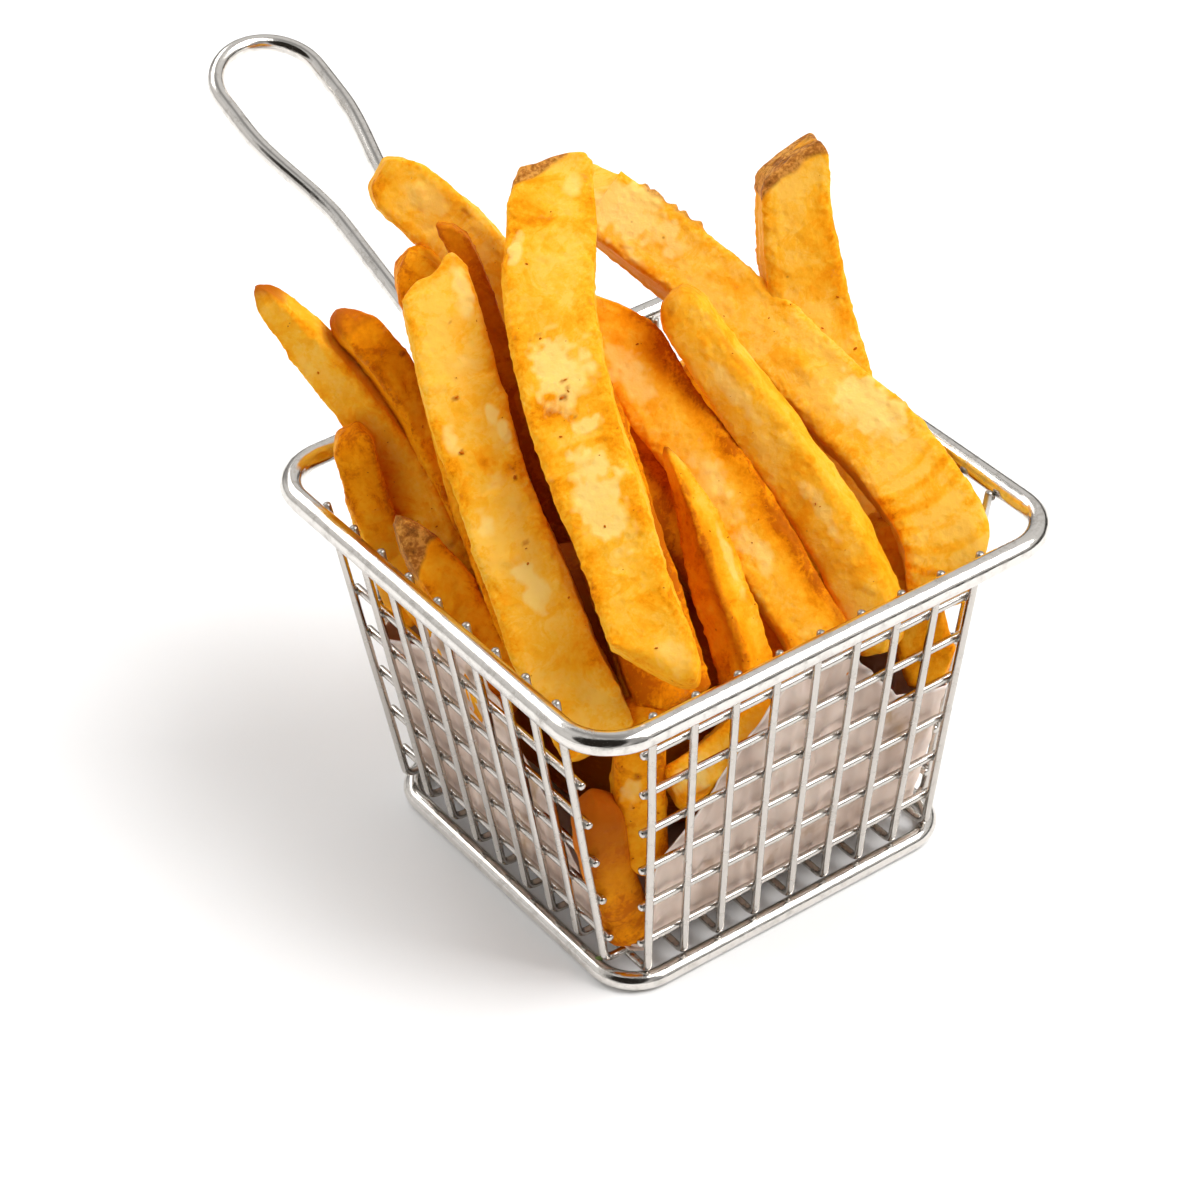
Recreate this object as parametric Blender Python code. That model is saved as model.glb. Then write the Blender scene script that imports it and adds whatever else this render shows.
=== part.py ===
"""Small wire serving basket with a loop handle, a greaseproof paper liner and a bundle of thick chips.

Metres, +Z up. The handle leaves towards +Y. Everything is worked out round the middle of the basket's
base, and at the end the whole object is moved so that its box stands centred on the origin.
"""
import math

import bmesh
import bpy
from mathutils import Euler, Vector

MM = 0.001

# Welded frame: two rounded squares of thick wire, sizes to the wire's centre line
RIM_HALF = 45.5 * MM
RIM_CORNER = 9.0 * MM
RIM_WIRE = 1.95 * MM
RIM_HEIGHT = 65.6 * MM
RING_HALF = 33.8 * MM
RING_CORNER = 7.5 * MM
RING_WIRE = 1.4 * MM
CORNER_STEPS = 4
THICK_WIRE_SIDES = 8
# direction, in radians, that the facets of an upright wire are lined up with
UPRIGHT_FACETS = 0.7
# the air left between two nodes that touch
GAP = 0.3 * MM

# Mesh: thin wires that hang inside the rim, turn in above the ring and run across the base
MESH_WIRE = 0.7 * MM
MESH_WIRE_SIDES = 6
WELD_SINK = 0.2 * MM
UPRIGHTS = 9
TOP_PITCH = 8.0 * MM
FOOT_PITCH = 7.3 * MM
TIP_ABOVE_RIM = 0.7 * MM
FOOT_OUT = 33.4 * MM
FOOT_BEND = 1.9 * MM
BASE_LEVEL = 3.7 * MM
CROSSBARS = 6
TOP_BAR_HEIGHT = 56.0 * MM
BAR_PITCH = 9.15 * MM
BAR_STUB = 1.5 * MM
# how far the uprights of each side sit off the side's middle, at the rim and at the foot
TOP_SHIFT = {"front": -1.0 * MM, "right": 0.7 * MM, "back": -1.0 * MM, "left": 0.7 * MM}
FOOT_SHIFT = {"front": 0.3 * MM, "right": 1.1 * MM, "back": 0.3 * MM, "left": 1.1 * MM}

# Handle: one wire bent into a long loop, with both legs turned down outside the rim. Its lengths run
# along its own slope, from the rim's centre line.
HANDLE_WIRE = 1.5 * MM
HANDLE_TILT = math.radians(21.0)
HANDLE_LENGTH = 83.4 * MM
NECK_HALF = 5.9 * MM
LOOP_HALF = 9.8 * MM
NECK_START = 6.8 * MM
NECK_MIDDLE = 24.0 * MM
NECK_END = 40.0 * MM
LOOP_START = 66.0 * MM
LEG_DROP = 8.0 * MM
LEG_BEND = 1.4 * MM
LOOP_STEPS = 5

# Paper liner: a square sheet pushed into the basket, high at the middle of each side, low at the corners
PAPER_THICK = 0.4 * MM
PAPER_FLOOR = 5.9 * MM
PAPER_FLOOR_HALF = 28.5 * MM
PAPER_TURN_HEIGHT = 9.0 * MM
PAPER_CORNER = 5.5 * MM
PAPER_CORNER_STOPS = (0.0, 0.03, 0.06, 0.94, 0.97)
PAPER_STEP = 0.2
# height of the sheet's edge along each side, from its first corner (0) to its last (1)
PAPER_EDGE = {
    "front": [(0.0, 7.0), (0.09, 27.0), (0.45, 56.0), (0.55, 59.0), (0.64, 55.0), (0.84, 37.0)],
    "right": [(0.0, 33.0), (0.30, 44.0), (0.52, 57.0), (0.75, 46.0)],
    "back": [(0.0, 34.0), (0.25, 45.0), (0.48, 58.0), (0.75, 44.0)],
    "left": [(0.0, 34.0), (0.20, 42.0), (0.40, 56.0), (0.52, 53.0), (0.73, 32.0), (0.90, 14.0)],
}

# Chips: foot, middle and head of the centre line, width at each of them, thickness, turn of the broad
# face in degrees, and slant of the cuts at foot and head. Lengths are in millimetres, and places are
# measured from the middle of the basket's base.
BROAD_FACE = Vector((-0.43, -0.65, 0.62))
CHIPS = {
    "left_long": ((-25, 18, 48), (-29, 37, 71), (-40, 54, 97), (10.2, 10.4, 5.8), 9.0, 10, (0, 0)),
    "left_back": ((-21, 17, 53), (-23, 31, 71), (-30, 45, 92), (8.0, 8.0, 6.2), 8.0, -15, (0, 0)),
    "left_stub": ((-34, 24, 42), (-35, 31, 59), (-35, 38, 76), (7.2, 7.4, 6.8), 7.5, 0, (0, 1)),
    "left_short": ((-31, -4, 44), (-33, 8, 55), (-36, 19, 66), (8.3, 8.3, 6.8), 8.0, 0, (0, 1)),
    "front_big": ((-30, -27, 44), (-27, 4, 71), (-18, 35, 98), (13.0, 13.4, 12.8), 9.0, 0, (0, 2)),
    "middle_tall": ((-23, -33, 61), (-15, 0, 87), (3, 31, 110), (13.2, 14.8, 14.0), 9.0, 0, (-5, 4)),
    "upper_left": ((2, 12, 56), (-1, 37, 80), (-13, 60, 105), (11.9, 12.4, 9.0), 9.5, 0, (0, -1)),
    "back_stub": ((-1, 36, 60), (-8, 42, 76), (-14, 46, 91), (8.0, 8.0, 7.4), 8.0, 0, (0, 0)),
    "skin_edge": ((-11, 10, 64), (-10, 26, 82), (-9, 39, 98), (8.0, 7.0, 5.0), 9.0, 35, (0, 0)),
    "right_long": ((34, -33, 50), (30, 2, 75), (15, 38, 101), (15.2, 13.8, 12.6), 10.0, 0, (0, 0)),
    "right_upright": ((38, -12, 38), (37, 4, 73), (39.5, 18, 107), (14.6, 14.6, 13.0), 8.5, 0, (0, 2.5)),
    "front_right": ((17, -33, 49), (13, -11, 73), (11, 10, 98), (10.2, 10.0, 7.6), 9.0, 0, (0, 0)),
    "middle_right": ((6, -32, 47), (5, -6, 69), (3, 20, 92), (11.2, 11.8, 11.4), 9.5, 0, (0, 0)),
    "front_middle": ((-6, -31, 46), (-4, -18, 63), (-2, -5, 81), (11.2, 9.3, 4.6), 9.0, 0, (0, -1)),
    "corner_upright": ((-25, -29, 19), (-24, -27, 36), (-22, -26, 52), (7.0, 8.4, 8.0), 8.0, 0, (0, 0)),
    "corner_low": ((-28, -27, 7), (-31, -26.5, 24), (-33, -26, 42), (8.8, 8.6, 8.2), 8.0, 0, (0, 0)),
    "front_low": ((-20, -31, 30), (-12, -31, 44), (-4, -32, 57), (9.0, 9.5, 9.0), 8.5, 0, (0, 0)),
    "right_low": ((32, -32, 33), (31, -26, 46), (29, -20, 60), (10.0, 10.0, 9.0), 9.0, 0, (0, 0)),
    "right_back_low": ((31, 6, 42), (22, 18, 54), (12, 30, 65), (10.0, 10.0, 9.0), 9.0, 0, (0, 0)),
    "right_side_low": ((34, 12, 40), (32, 23, 51), (30, 34, 62), (9.0, 9.0, 9.0), 9.0, 0, (0, 0)),
    "under_tall": ((-17, -26, 48), (-11.5, 1, 76.5), (-3, 28, 99), (13.0, 14.0, 11.0), 12.0, 0, (0, 0)),
    "under_right": ((22, -24, 40), (21, 0, 62), (18, 22, 80), (14.0, 14.0, 11.0), 11.0, 0, (0, 0)),
    "under_left": ((-26, -14, 42), (-24, 10, 62), (-20, 28, 76), (12.0, 12.0, 10.0), 10.0, 0, (0, 0)),
    "back_low": ((20, 34, 46), (2, 35, 54), (-16, 35, 62), (10.0, 10.0, 9.0), 9.0, 0, (0, 0)),
    "left_low": ((-34, -2, 40), (-33, 14, 47), (-32, 30, 54), (9.0, 9.0, 9.0), 9.0, 0, (0, 0)),
}
CHIP_STATIONS = (0.0, 0.06, 0.35, 0.65, 0.94, 1.0)
CHIP_END_SCALE = 0.72
CHIP_ROUNDING = 0.62
CHIP_SIDES = 8
CHIP_CUT_LENGTH = 0.3
# how steeply a chip's foot draws in over the paper's round turn
FOOT_DRAW_IN = 1.1
# The core of the bundle: height and half width in millimetres, and how far its front corner is cut back
CORE_STATIONS = ((9.0, 19.0), (16.0, 24.0), (36.0, 27.5), (56.0, 31.0), (63.0, 26.0))
CORE_ROUNDING = 0.45
CORE_SIDES = 16
CORE_CUT = 12.0

SIDES = {"front": -90.0, "right": 0.0, "back": 90.0, "left": 180.0}
UPRIGHT_TOP_OUT = RIM_HALF - RIM_WIRE - GAP - MESH_WIRE
LEAN = (UPRIGHT_TOP_OUT - FOOT_OUT) / (RIM_HEIGHT - BASE_LEVEL)


def material(name, colour, roughness, metallic=0.0):
    """A plain Principled material."""
    mat = bpy.data.materials.new(name)
    mat.use_nodes = True
    shader = mat.node_tree.nodes["Principled BSDF"]
    shader.inputs["Base Color"].default_value = (*colour, 1.0)
    shader.inputs["Roughness"].default_value = roughness
    shader.inputs["Metallic"].default_value = metallic
    return mat


def object_from(name, bm, mat=None, smooth_angle=50.0):
    """Link a mesh object made from a bmesh, with its faces pointing out."""
    bmesh.ops.recalc_face_normals(bm, faces=bm.faces[:])
    mesh = bpy.data.meshes.new(name)
    bm.to_mesh(mesh)
    bm.free()
    mesh.shade_smooth()
    mesh.set_sharp_from_angle(angle=math.radians(smooth_angle))
    obj = bpy.data.objects.new(name, mesh)
    bpy.context.scene.collection.objects.link(obj)
    if mat:
        mesh.materials.append(mat)
    return obj


def skin(rings, closed=False):
    """Join rings of points into one tube, capped at both ends or closed round on itself."""
    bm = bmesh.new()
    loops = [[bm.verts.new(point) for point in ring] for ring in rings]
    pairs = list(zip(loops, loops[1:] + loops[:1])) if closed else list(zip(loops, loops[1:]))
    for low, high in pairs:
        count = len(low)
        for i in range(count):
            j = (i + 1) % count
            bm.faces.new((low[i], low[j], high[j], high[i]))
    if not closed:
        bm.faces.new(loops[0])
        bm.faces.new(loops[-1])
    return bm


def wire_rings(path, radius, sides, closed=False):
    """Rings of a round wire, one at each point of its path, cut on the mitre between two runs."""
    runs = [(after - before).normalized() for before, after in zip(path, path[1:] + path[:1])]
    if not closed:
        runs[-1] = runs[-2]
    run_in = runs[-1] if closed else runs[0]
    across = run_in.cross(Vector((0, 0, 1)))
    if across.length < 0.5:
        across = run_in.cross(Vector((math.sin(UPRIGHT_FACETS), math.cos(UPRIGHT_FACETS), 0)))
    across.normalize()
    rings = []
    for point, run_out in zip(path, runs):
        mitre = (run_in + run_out).normalized()
        up = across.cross(run_in)
        ring = []
        for k in range(sides):
            angle = math.pi / sides + 2 * math.pi * k / sides - math.pi / 2
            offset = (across * math.cos(angle) + up * math.sin(angle)) * radius
            ring.append(point + offset - run_in * (offset.dot(mitre) / run_in.dot(mitre)))
        rings.append(ring)
        across.rotate(run_in.rotation_difference(run_out))
        run_in = run_out
    return rings


def rounded_square(half, corner, height):
    """Points round a square with round corners, counted from the middle of the front side."""
    path = []
    for turn in SIDES.values():
        start = math.radians(turn)
        centre = Vector((half - corner, half - corner, height))
        centre.rotate(Euler((0, 0, start)))
        path.append(Vector((half * math.cos(start), half * math.sin(start), height)))
        for i in range(CORNER_STEPS + 1):
            angle = start + math.pi / 2 * i / CORNER_STEPS
            path.append(centre + corner * Vector((math.cos(angle), math.sin(angle), 0)))
    return path


def fuse(name, bodies, mat, solver="EXACT"):
    """Join overlapping closed bodies into one and drop what isn't part of its outer skin."""
    first, rest = bodies[0], bodies[1:]
    others = bpy.data.collections.new(name + "_parts")
    for body in rest:
        others.objects.link(body)
    union = first.modifiers.new("join", "BOOLEAN")
    union.operation = "UNION"
    union.solver = solver
    union.operand_type = "COLLECTION"
    union.collection = others
    graph = bpy.context.evaluated_depsgraph_get()
    joined = bpy.data.meshes.new_from_object(first.evaluated_get(graph))
    for body in bodies:
        bpy.data.objects.remove(body, do_unlink=True)
    bpy.data.collections.remove(others)
    bm = bmesh.new()
    bm.from_mesh(joined)
    bpy.data.meshes.remove(joined)
    bmesh.ops.remove_doubles(bm, verts=bm.verts[:], dist=0.000002)
    keep_outer_skin(bm)
    bmesh.ops.triangulate(bm, faces=bm.faces[:])
    return object_from(name, bm, mat)


def keep_outer_skin(bm):
    """Delete every loose island of faces but the widest."""
    left = set(bm.faces)
    islands = []
    while left:
        front = [left.pop()]
        island = list(front)
        while front:
            face = front.pop()
            for edge in face.edges:
                for near in edge.link_faces:
                    if near in left:
                        left.remove(near)
                        island.append(near)
                        front.append(near)
        islands.append(island)
    islands.sort(key=lambda faces: sum(face.calc_area() for face in faces))
    for island in islands[:-1]:
        bmesh.ops.delete(bm, geom=island, context="FACES")


def side_point(side, out, along, height):
    """A point near one side of the basket: distance out from the middle, place along the side, height."""
    turn = math.radians(SIDES[side])
    normal = Vector((math.cos(turn), math.sin(turn), 0))
    tangent = Vector((abs(normal.y), abs(normal.x), 0))
    return normal * out + tangent * along + Vector((0, 0, height))


def hoop(name, half, corner, height, radius, mat):
    """A rounded square of thick wire, with a flat underneath."""
    path = rounded_square(half, corner, height)
    return object_from(name, skin(wire_rings(path, radius, THICK_WIRE_SIDES, True), True), mat)


def upright_out(height):
    """How far out an upright's centre line is at a height."""
    return UPRIGHT_TOP_OUT - (RIM_HEIGHT - height) * LEAN


def base_level(side):
    """The wires of the left and right sides cross over those of the front and back."""
    lift = 2 * MESH_WIRE - WELD_SINK if side in ("left", "right") else 0.0
    return BASE_LEVEL + lift


def upright_places(side, index):
    """Where an upright stands along its side: at the rim and at the foot."""
    step = index - (UPRIGHTS - 1) / 2
    return TOP_SHIFT[side] + step * TOP_PITCH, FOOT_SHIFT[side] + step * FOOT_PITCH


def mesh_side(side, mat):
    """One side of the mesh: uprights outside, crossbars welded across their inner faces."""
    level = base_level(side)
    bodies = []
    for index in range(UPRIGHTS):
        top, foot = upright_places(side, index)
        out = upright_out(level)
        tip = side_point(side, upright_out(RIM_HEIGHT + TIP_ABOVE_RIM), top, RIM_HEIGHT + TIP_ABOVE_RIM)
        corner = side_point(side, out, foot, level)
        above = corner + (tip - corner).normalized() * FOOT_BEND
        inward = side_point(side, out - FOOT_BEND, foot, level)
        end = side_point(side, FOOT_OUT - FOOT_BEND - 2 * GAP, foot, level)
        middle = (above + inward) / 4 + corner / 2
        path = [tip, above, middle, inward, end]
        bodies.append(object_from("upright", skin(wire_rings(path, MESH_WIRE, MESH_WIRE_SIDES))))
    for index in range(CROSSBARS):
        height = TOP_BAR_HEIGHT - index * BAR_PITCH
        share = (height - level) / (RIM_HEIGHT - level)
        first_top, first_foot = upright_places(side, 0)
        last_top, last_foot = upright_places(side, UPRIGHTS - 1)
        start = first_foot + (first_top - first_foot) * share - BAR_STUB
        end = last_foot + (last_top - last_foot) * share + BAR_STUB
        out = upright_out(height) - 2 * MESH_WIRE + WELD_SINK
        path = [side_point(side, out, start, height), side_point(side, out, end, height)]
        bodies.append(object_from("crossbar", skin(wire_rings(path, MESH_WIRE, MESH_WIRE_SIDES))))
    return fuse("mesh_" + side, bodies, mat)


def mesh_base(mat):
    """The mesh across the base: the uprights' wires run on and cross each other."""
    bodies = []
    for side in ("front", "left"):
        level = base_level(side)
        for index in range(UPRIGHTS):
            foot = upright_places(side, index)[1]
            reach = FOOT_OUT - FOOT_BEND - 3 * GAP
            ends = [side_point(side, out, foot, level) for out in (reach, -reach)]
            bodies.append(object_from("base_wire", skin(wire_rings(ends, MESH_WIRE, MESH_WIRE_SIDES))))
    return fuse("mesh_base", bodies, mat)


def handle(mat):
    """The loop handle, drawn flat in its sloping plane, with its legs turned down outside the rim."""
    def on_plane(across, along):
        return Vector((across, RIM_HALF + along * math.cos(HANDLE_TILT),
                       RIM_HEIGHT + along * math.sin(HANDLE_TILT)))

    leg_out = RIM_WIRE + HANDLE_WIRE + GAP
    half = [Vector((NECK_HALF, RIM_HALF + leg_out, RIM_HEIGHT - LEG_DROP)),
            Vector((NECK_HALF, RIM_HALF + leg_out, RIM_HEIGHT - LEG_BEND / 2)),
            Vector((NECK_HALF, RIM_HALF + leg_out + LEG_BEND / 2, RIM_HEIGHT + LEG_BEND)),
            on_plane(NECK_HALF, NECK_START),
            on_plane(NECK_HALF, NECK_MIDDLE)]
    for i in range(LOOP_STEPS):
        share = i / (LOOP_STEPS - 1)
        ease = share * share * (3 - 2 * share)
        half.append(on_plane(NECK_HALF + (LOOP_HALF - NECK_HALF) * ease,
                             NECK_END + (LOOP_START - NECK_END) * share))
    for i in range(LOOP_STEPS + 1):
        angle = math.pi / 2 * i / LOOP_STEPS
        half.append(on_plane(LOOP_HALF * math.cos(angle),
                             HANDLE_LENGTH + LOOP_HALF * (math.sin(angle) - 1)))
    other = [Vector((-p.x, p.y, p.z)) for p in reversed(half[:-1])]
    return object_from("handle", skin(wire_rings(half + other, HANDLE_WIRE, THICK_WIRE_SIDES)), mat)


def wall_inside(height):
    """Half the width that is free inside the mesh at a height."""
    return upright_out(height) - 3 * MESH_WIRE + WELD_SINK


def on_rounded_square(share, half, corner):
    """The point at a share (0 to 4) of the way round a rounded square, from the front left corner."""
    side = min(int(share), 3)
    along = (share - side) * 2 - 1
    turn = math.radians(-90.0 + 90.0 * side)
    normal = Vector((math.cos(turn), math.sin(turn)))
    tangent = Vector((-normal.y, normal.x))
    flat = half - corner
    limit = math.tan(math.radians(45.0) * abs(along))
    reach = min(limit, 1.0) * half
    point = normal * half + tangent * math.copysign(reach, along)
    local = Vector((point.dot(normal), point.dot(tangent)))
    over = Vector((max(abs(local.x) - flat, 0.0), max(abs(local.y) - flat, 0.0)))
    if over.x > 0 and over.y > 0:
        over = over * (corner / over.length)
    local = Vector((flat + over.x, math.copysign(min(abs(local.y), flat) + over.y, local.y)))
    return normal * local.x + tangent * local.y


def paper_edge(share):
    """The height of the paper's edge at a share (0 to 4) of the way round."""
    places = []
    for number, side in enumerate(PAPER_EDGE):
        places += [(number + place, height) for place, height in PAPER_EDGE[side]]
    places.append((4.0, places[0][1]))
    for (start, low), (end, high) in zip(places, places[1:]):
        if start <= share <= end:
            return (low + (high - low) * (share - start) / (end - start)) * MM
    return places[-1][1] * MM


def paper_liner(mat):
    """The liner: a floor, a round turn and walls that follow the mesh up to the sheet's uneven edge."""
    shares = []
    for number, side in enumerate(PAPER_EDGE):
        stops = sorted({place for place, height in PAPER_EDGE[side]} | set(PAPER_CORNER_STOPS))
        for start, end in zip(stops, stops[1:] + [1.0]):
            steps = max(1, round((end - start) / PAPER_STEP))
            shares += [number + start + (end - start) * i / steps for i in range(steps)]

    def station(share, level, offset):
        """One point of the sheet: level 0 to 1 is the turn, 1 to 2 the wall, offset towards the inside."""
        edge = paper_edge(share)
        turn_top = min(PAPER_TURN_HEIGHT, edge)
        if level <= 1.0:
            angle = math.radians(90.0) * level
            high = wall_inside(PAPER_TURN_HEIGHT) - GAP
            half = PAPER_FLOOR_HALF + (high - PAPER_FLOOR_HALF) * math.sin(angle)
            rise = (PAPER_TURN_HEIGHT - PAPER_FLOOR) * (1 - math.cos(angle))
            height = min(PAPER_FLOOR + rise, edge)
            half -= offset * math.sin(angle)
            height += offset * math.cos(angle)
        else:
            height = turn_top + (edge - turn_top) * (level - 1.0)
            half = wall_inside(height) - GAP - offset
        flat = on_rounded_square(share, half, PAPER_CORNER - offset)
        return Vector((flat.x, flat.y, height))

    levels = (0.0, 0.5, 1.0, 1.5, 2.0)
    bm = bmesh.new()
    skins = []
    for offset in (0.0, PAPER_THICK):
        rows = [[bm.verts.new(station(share, level, offset)) for share in shares] for level in levels]
        middle = bm.verts.new((0, 0, PAPER_FLOOR + offset))
        for i in range(len(shares)):
            j = (i + 1) % len(shares)
            bm.faces.new((middle, rows[0][i], rows[0][j]))
            for low, high in zip(rows, rows[1:]):
                bm.faces.new((low[i], low[j], high[j], high[i]))
        skins.append(rows[-1])
    outer, inner = skins
    for i in range(len(shares)):
        j = (i + 1) % len(shares)
        bm.faces.new((outer[i], outer[j], inner[j], inner[i]))
    bmesh.ops.triangulate(bm, faces=bm.faces[:])
    return object_from("paper_liner", bm, mat)


def keep_inside(point):
    """Move a chip's point in from the basket's wall where it would reach it, below the rim's top."""
    rim_top = RIM_HEIGHT + RIM_WIRE + 2 * GAP
    if point.z > rim_top:
        return point
    floor = PAPER_FLOOR + PAPER_THICK + 2 * GAP
    height = max(point.z, floor)
    half = wall_inside(min(height, RIM_HEIGHT)) - PAPER_THICK - 2.5 * GAP
    turn = PAPER_TURN_HEIGHT + 1.0 * MM
    if height < turn:
        half -= (turn - height) * FOOT_DRAW_IN
    corner = PAPER_CORNER - PAPER_THICK
    flat = half - corner
    x, y = abs(point.x), abs(point.y)
    over = Vector((max(x - flat, 0.0), max(y - flat, 0.0)))
    if over.length > corner:
        over = over * (corner / over.length)
    return Vector((math.copysign(min(x, flat) + over.x, point.x),
                   math.copysign(min(y, flat) + over.y, point.y), height))


def chip(foot, middle, head, widths, thickness, turn, slants):
    """One chip: a bowed stick of rounded oblong section with blunt, slanted ends."""
    foot, middle, head = (Vector(place) * MM for place in (foot, middle, head))
    rings = []
    for place in CHIP_STATIONS:
        size = CHIP_END_SCALE if place in (0.0, 1.0) else 1.0
        shares = ((1 - place) * (1 - 2 * place), 4 * place * (1 - place), place * (2 * place - 1))
        centre = foot * shares[0] + middle * shares[1] + head * shares[2]
        width = sum(share * value for share, value in zip(shares, widths)) * MM
        along = (foot * (4 * place - 3) + middle * (4 - 8 * place) + head * (4 * place - 1)).normalized()
        across = along.cross(BROAD_FACE).normalized()
        facing = across.cross(along)
        angle = math.radians(turn)
        wide = across * math.cos(angle) + facing * math.sin(angle)
        deep = wide.cross(along)
        from_head = 1 - place
        slant = (slants[0] * max(1 - place / CHIP_CUT_LENGTH, 0.0)
                 + slants[1] * max(1 - from_head / CHIP_CUT_LENGTH, 0.0))
        ring = []
        for k in range(CHIP_SIDES):
            a = 2 * math.pi * (k + 0.5) / CHIP_SIDES
            w = math.copysign(abs(math.cos(a)) ** CHIP_ROUNDING, math.cos(a)) * size
            t = math.copysign(abs(math.sin(a)) ** CHIP_ROUNDING, math.sin(a)) * size
            ring.append(keep_inside(centre + wide * (w * width / 2) + deep * (t * thickness * MM / 2)
                                    + along * (slant * w * MM)))
        rings.append(ring)
    return skin(rings)


def chip_core():
    """The middle of the bundle: a rounded block that fills the basket between the chips that show."""
    rings = []
    for height, half in CORE_STATIONS:
        ring = []
        for k in range(CORE_SIDES):
            a = 2 * math.pi * (k + 0.5) / CORE_SIDES
            x = math.copysign(abs(math.cos(a)) ** CORE_ROUNDING, math.cos(a)) * half
            y = math.copysign(abs(math.sin(a)) ** CORE_ROUNDING, math.sin(a)) * half
            towards_front_corner = max(0.0, -(x + y) / (2 * half) - CORE_ROUNDING)
            back = CORE_CUT * towards_front_corner
            ring.append(Vector((x + back, y + back, height)) * MM)
        rings.append(ring)
    return skin(rings)


def chips(mat):
    """The bundle of chips as one body: the core with every chip that shows fused on."""
    bodies = [object_from("core", chip_core())]
    for values in CHIPS.values():
        bodies.append(object_from("chip", chip(*values)))
    return fuse("fries", bodies, mat, "MANIFOLD")


def centre_on_origin(objects):
    """Stand the whole object on its box's bottom centre."""
    corners = [vertex.co for obj in objects for vertex in obj.data.vertices]
    middle = Vector([(min(c[i] for c in corners) + max(c[i] for c in corners)) / 2 for i in range(2)]
                    + [min(c.z for c in corners)])
    for obj in objects:
        for vertex in obj.data.vertices:
            vertex.co -= middle
    return middle


def build():
    for obj in list(bpy.data.objects):
        bpy.data.objects.remove(obj, do_unlink=True)
    steel = material("polished_steel", (0.72, 0.71, 0.69), 0.18, 1.0)
    wire_steel = material("mesh_steel", (0.70, 0.69, 0.67), 0.25, 1.0)
    paper = material("greaseproof_paper", (0.72, 0.60, 0.50), 0.6)
    potato = material("fried_potato", (0.86, 0.50, 0.12), 0.5)

    objects = [
        hoop("top_rim", RIM_HALF, RIM_CORNER, RIM_HEIGHT, RIM_WIRE, steel),
        hoop("base_ring", RING_HALF, RING_CORNER, RING_WIRE, RING_WIRE, steel),
        handle(steel),
    ]
    objects += [mesh_side(side, wire_steel) for side in SIDES]
    objects.append(mesh_base(wire_steel))
    objects.append(paper_liner(paper))
    objects.append(chips(potato))
    centre_on_origin(objects)


build()
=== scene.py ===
import math

import bpy
import numpy as np
from mathutils import Matrix, Vector


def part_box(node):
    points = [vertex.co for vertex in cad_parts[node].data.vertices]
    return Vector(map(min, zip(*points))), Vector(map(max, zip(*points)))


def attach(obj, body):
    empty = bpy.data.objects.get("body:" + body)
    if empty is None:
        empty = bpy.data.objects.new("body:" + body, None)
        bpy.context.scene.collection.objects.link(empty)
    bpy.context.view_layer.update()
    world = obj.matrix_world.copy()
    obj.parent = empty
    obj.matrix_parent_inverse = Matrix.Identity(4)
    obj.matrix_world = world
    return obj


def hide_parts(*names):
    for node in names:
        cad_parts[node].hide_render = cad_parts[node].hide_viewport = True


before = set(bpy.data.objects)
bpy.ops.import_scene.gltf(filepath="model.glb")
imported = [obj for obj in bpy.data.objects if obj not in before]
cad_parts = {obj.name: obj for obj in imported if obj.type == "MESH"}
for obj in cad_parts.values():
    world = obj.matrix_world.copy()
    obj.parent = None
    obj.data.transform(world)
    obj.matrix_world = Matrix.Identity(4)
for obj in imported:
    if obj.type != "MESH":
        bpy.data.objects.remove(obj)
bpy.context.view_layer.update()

# Lengths below are millimetres from the middle of the basket's base, +Y towards the handle.
mm = 0.001
basket = {
    "rimHalf": 45.5,
    "rimCorner": 9.0,
    "rimWire": 1.95,
    "rimHeight": 65.6,
    "ringHalf": 33.8,
    "ringCorner": 7.5,
    "ringWire": 1.6,
    "meshWire": 0.7,
}
rimLow, rimHigh = (np.array(corner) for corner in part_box("top_rim"))
basketMiddle = (rimLow + rimHigh) / 2 - np.array([0.0, 0.0, basket["rimHeight"] * mm])
sideTurns = {"front": -90.0, "right": 0.0, "back": 90.0, "left": 180.0}


# ---- making meshes from arrays

def meshPiece(name, points, quads, tris, material, slotName, nodes, attributes=None, uv=None):
    # one piece of the object: points in basket millimetres, four- and three-sided faces, values by point
    mesh = bpy.data.meshes.new(name)
    mesh.vertices.add(len(points))
    mesh.vertices.foreach_set("co", (points * mm + basketMiddle).astype(np.float32).ravel())
    corners = np.concatenate([quads.ravel(), tris.ravel()]).astype(np.int32)
    starts = np.concatenate([np.arange(len(quads)) * 4, len(quads) * 4 + np.arange(len(tris)) * 3])
    mesh.loops.add(len(corners))
    mesh.loops.foreach_set("vertex_index", corners)
    mesh.polygons.add(len(starts))
    mesh.polygons.foreach_set("loop_start", starts.astype(np.int32))
    mesh.update(calc_edges=True)
    for key, values in (attributes or {}).items():
        layer = mesh.attributes.new(key, "FLOAT", "POINT")
        layer.data.foreach_set("value", np.asarray(values, np.float32).ravel())
    if uv is not None:
        layer = mesh.uv_layers.new(name="along")
        layer.data.foreach_set("uv", uv[corners].astype(np.float32).ravel())
    mesh.shade_smooth()
    mesh.materials.append(material)
    piece = bpy.data.objects.new(name, mesh)
    bpy.context.scene.collection.objects.link(piece)
    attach(piece, "root")
    for node in nodes:
        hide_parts(node)
    return piece


def gridFaces(rows, columns, closedAlong=False):
    # four-sided faces of a grid that is closed round its columns, facing out for rows that run forwards
    r = np.arange(rows if closedAlong else rows - 1)[:, None]
    c = np.arange(columns)[None, :]
    low, high = r * columns, ((r + 1) % rows) * columns
    right = (c + 1) % columns
    return np.stack([low + c, low + right, high + right, high + c], -1).reshape(-1, 4)


def fanFaces(ring, pole, forwards):
    # three-sided faces from a ring of point numbers to one pole
    after = np.roll(ring, -1)
    ends = (after, ring) if forwards else (ring, after)
    return np.stack([np.full(len(ring), pole), ends[0], ends[1]], -1)


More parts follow.
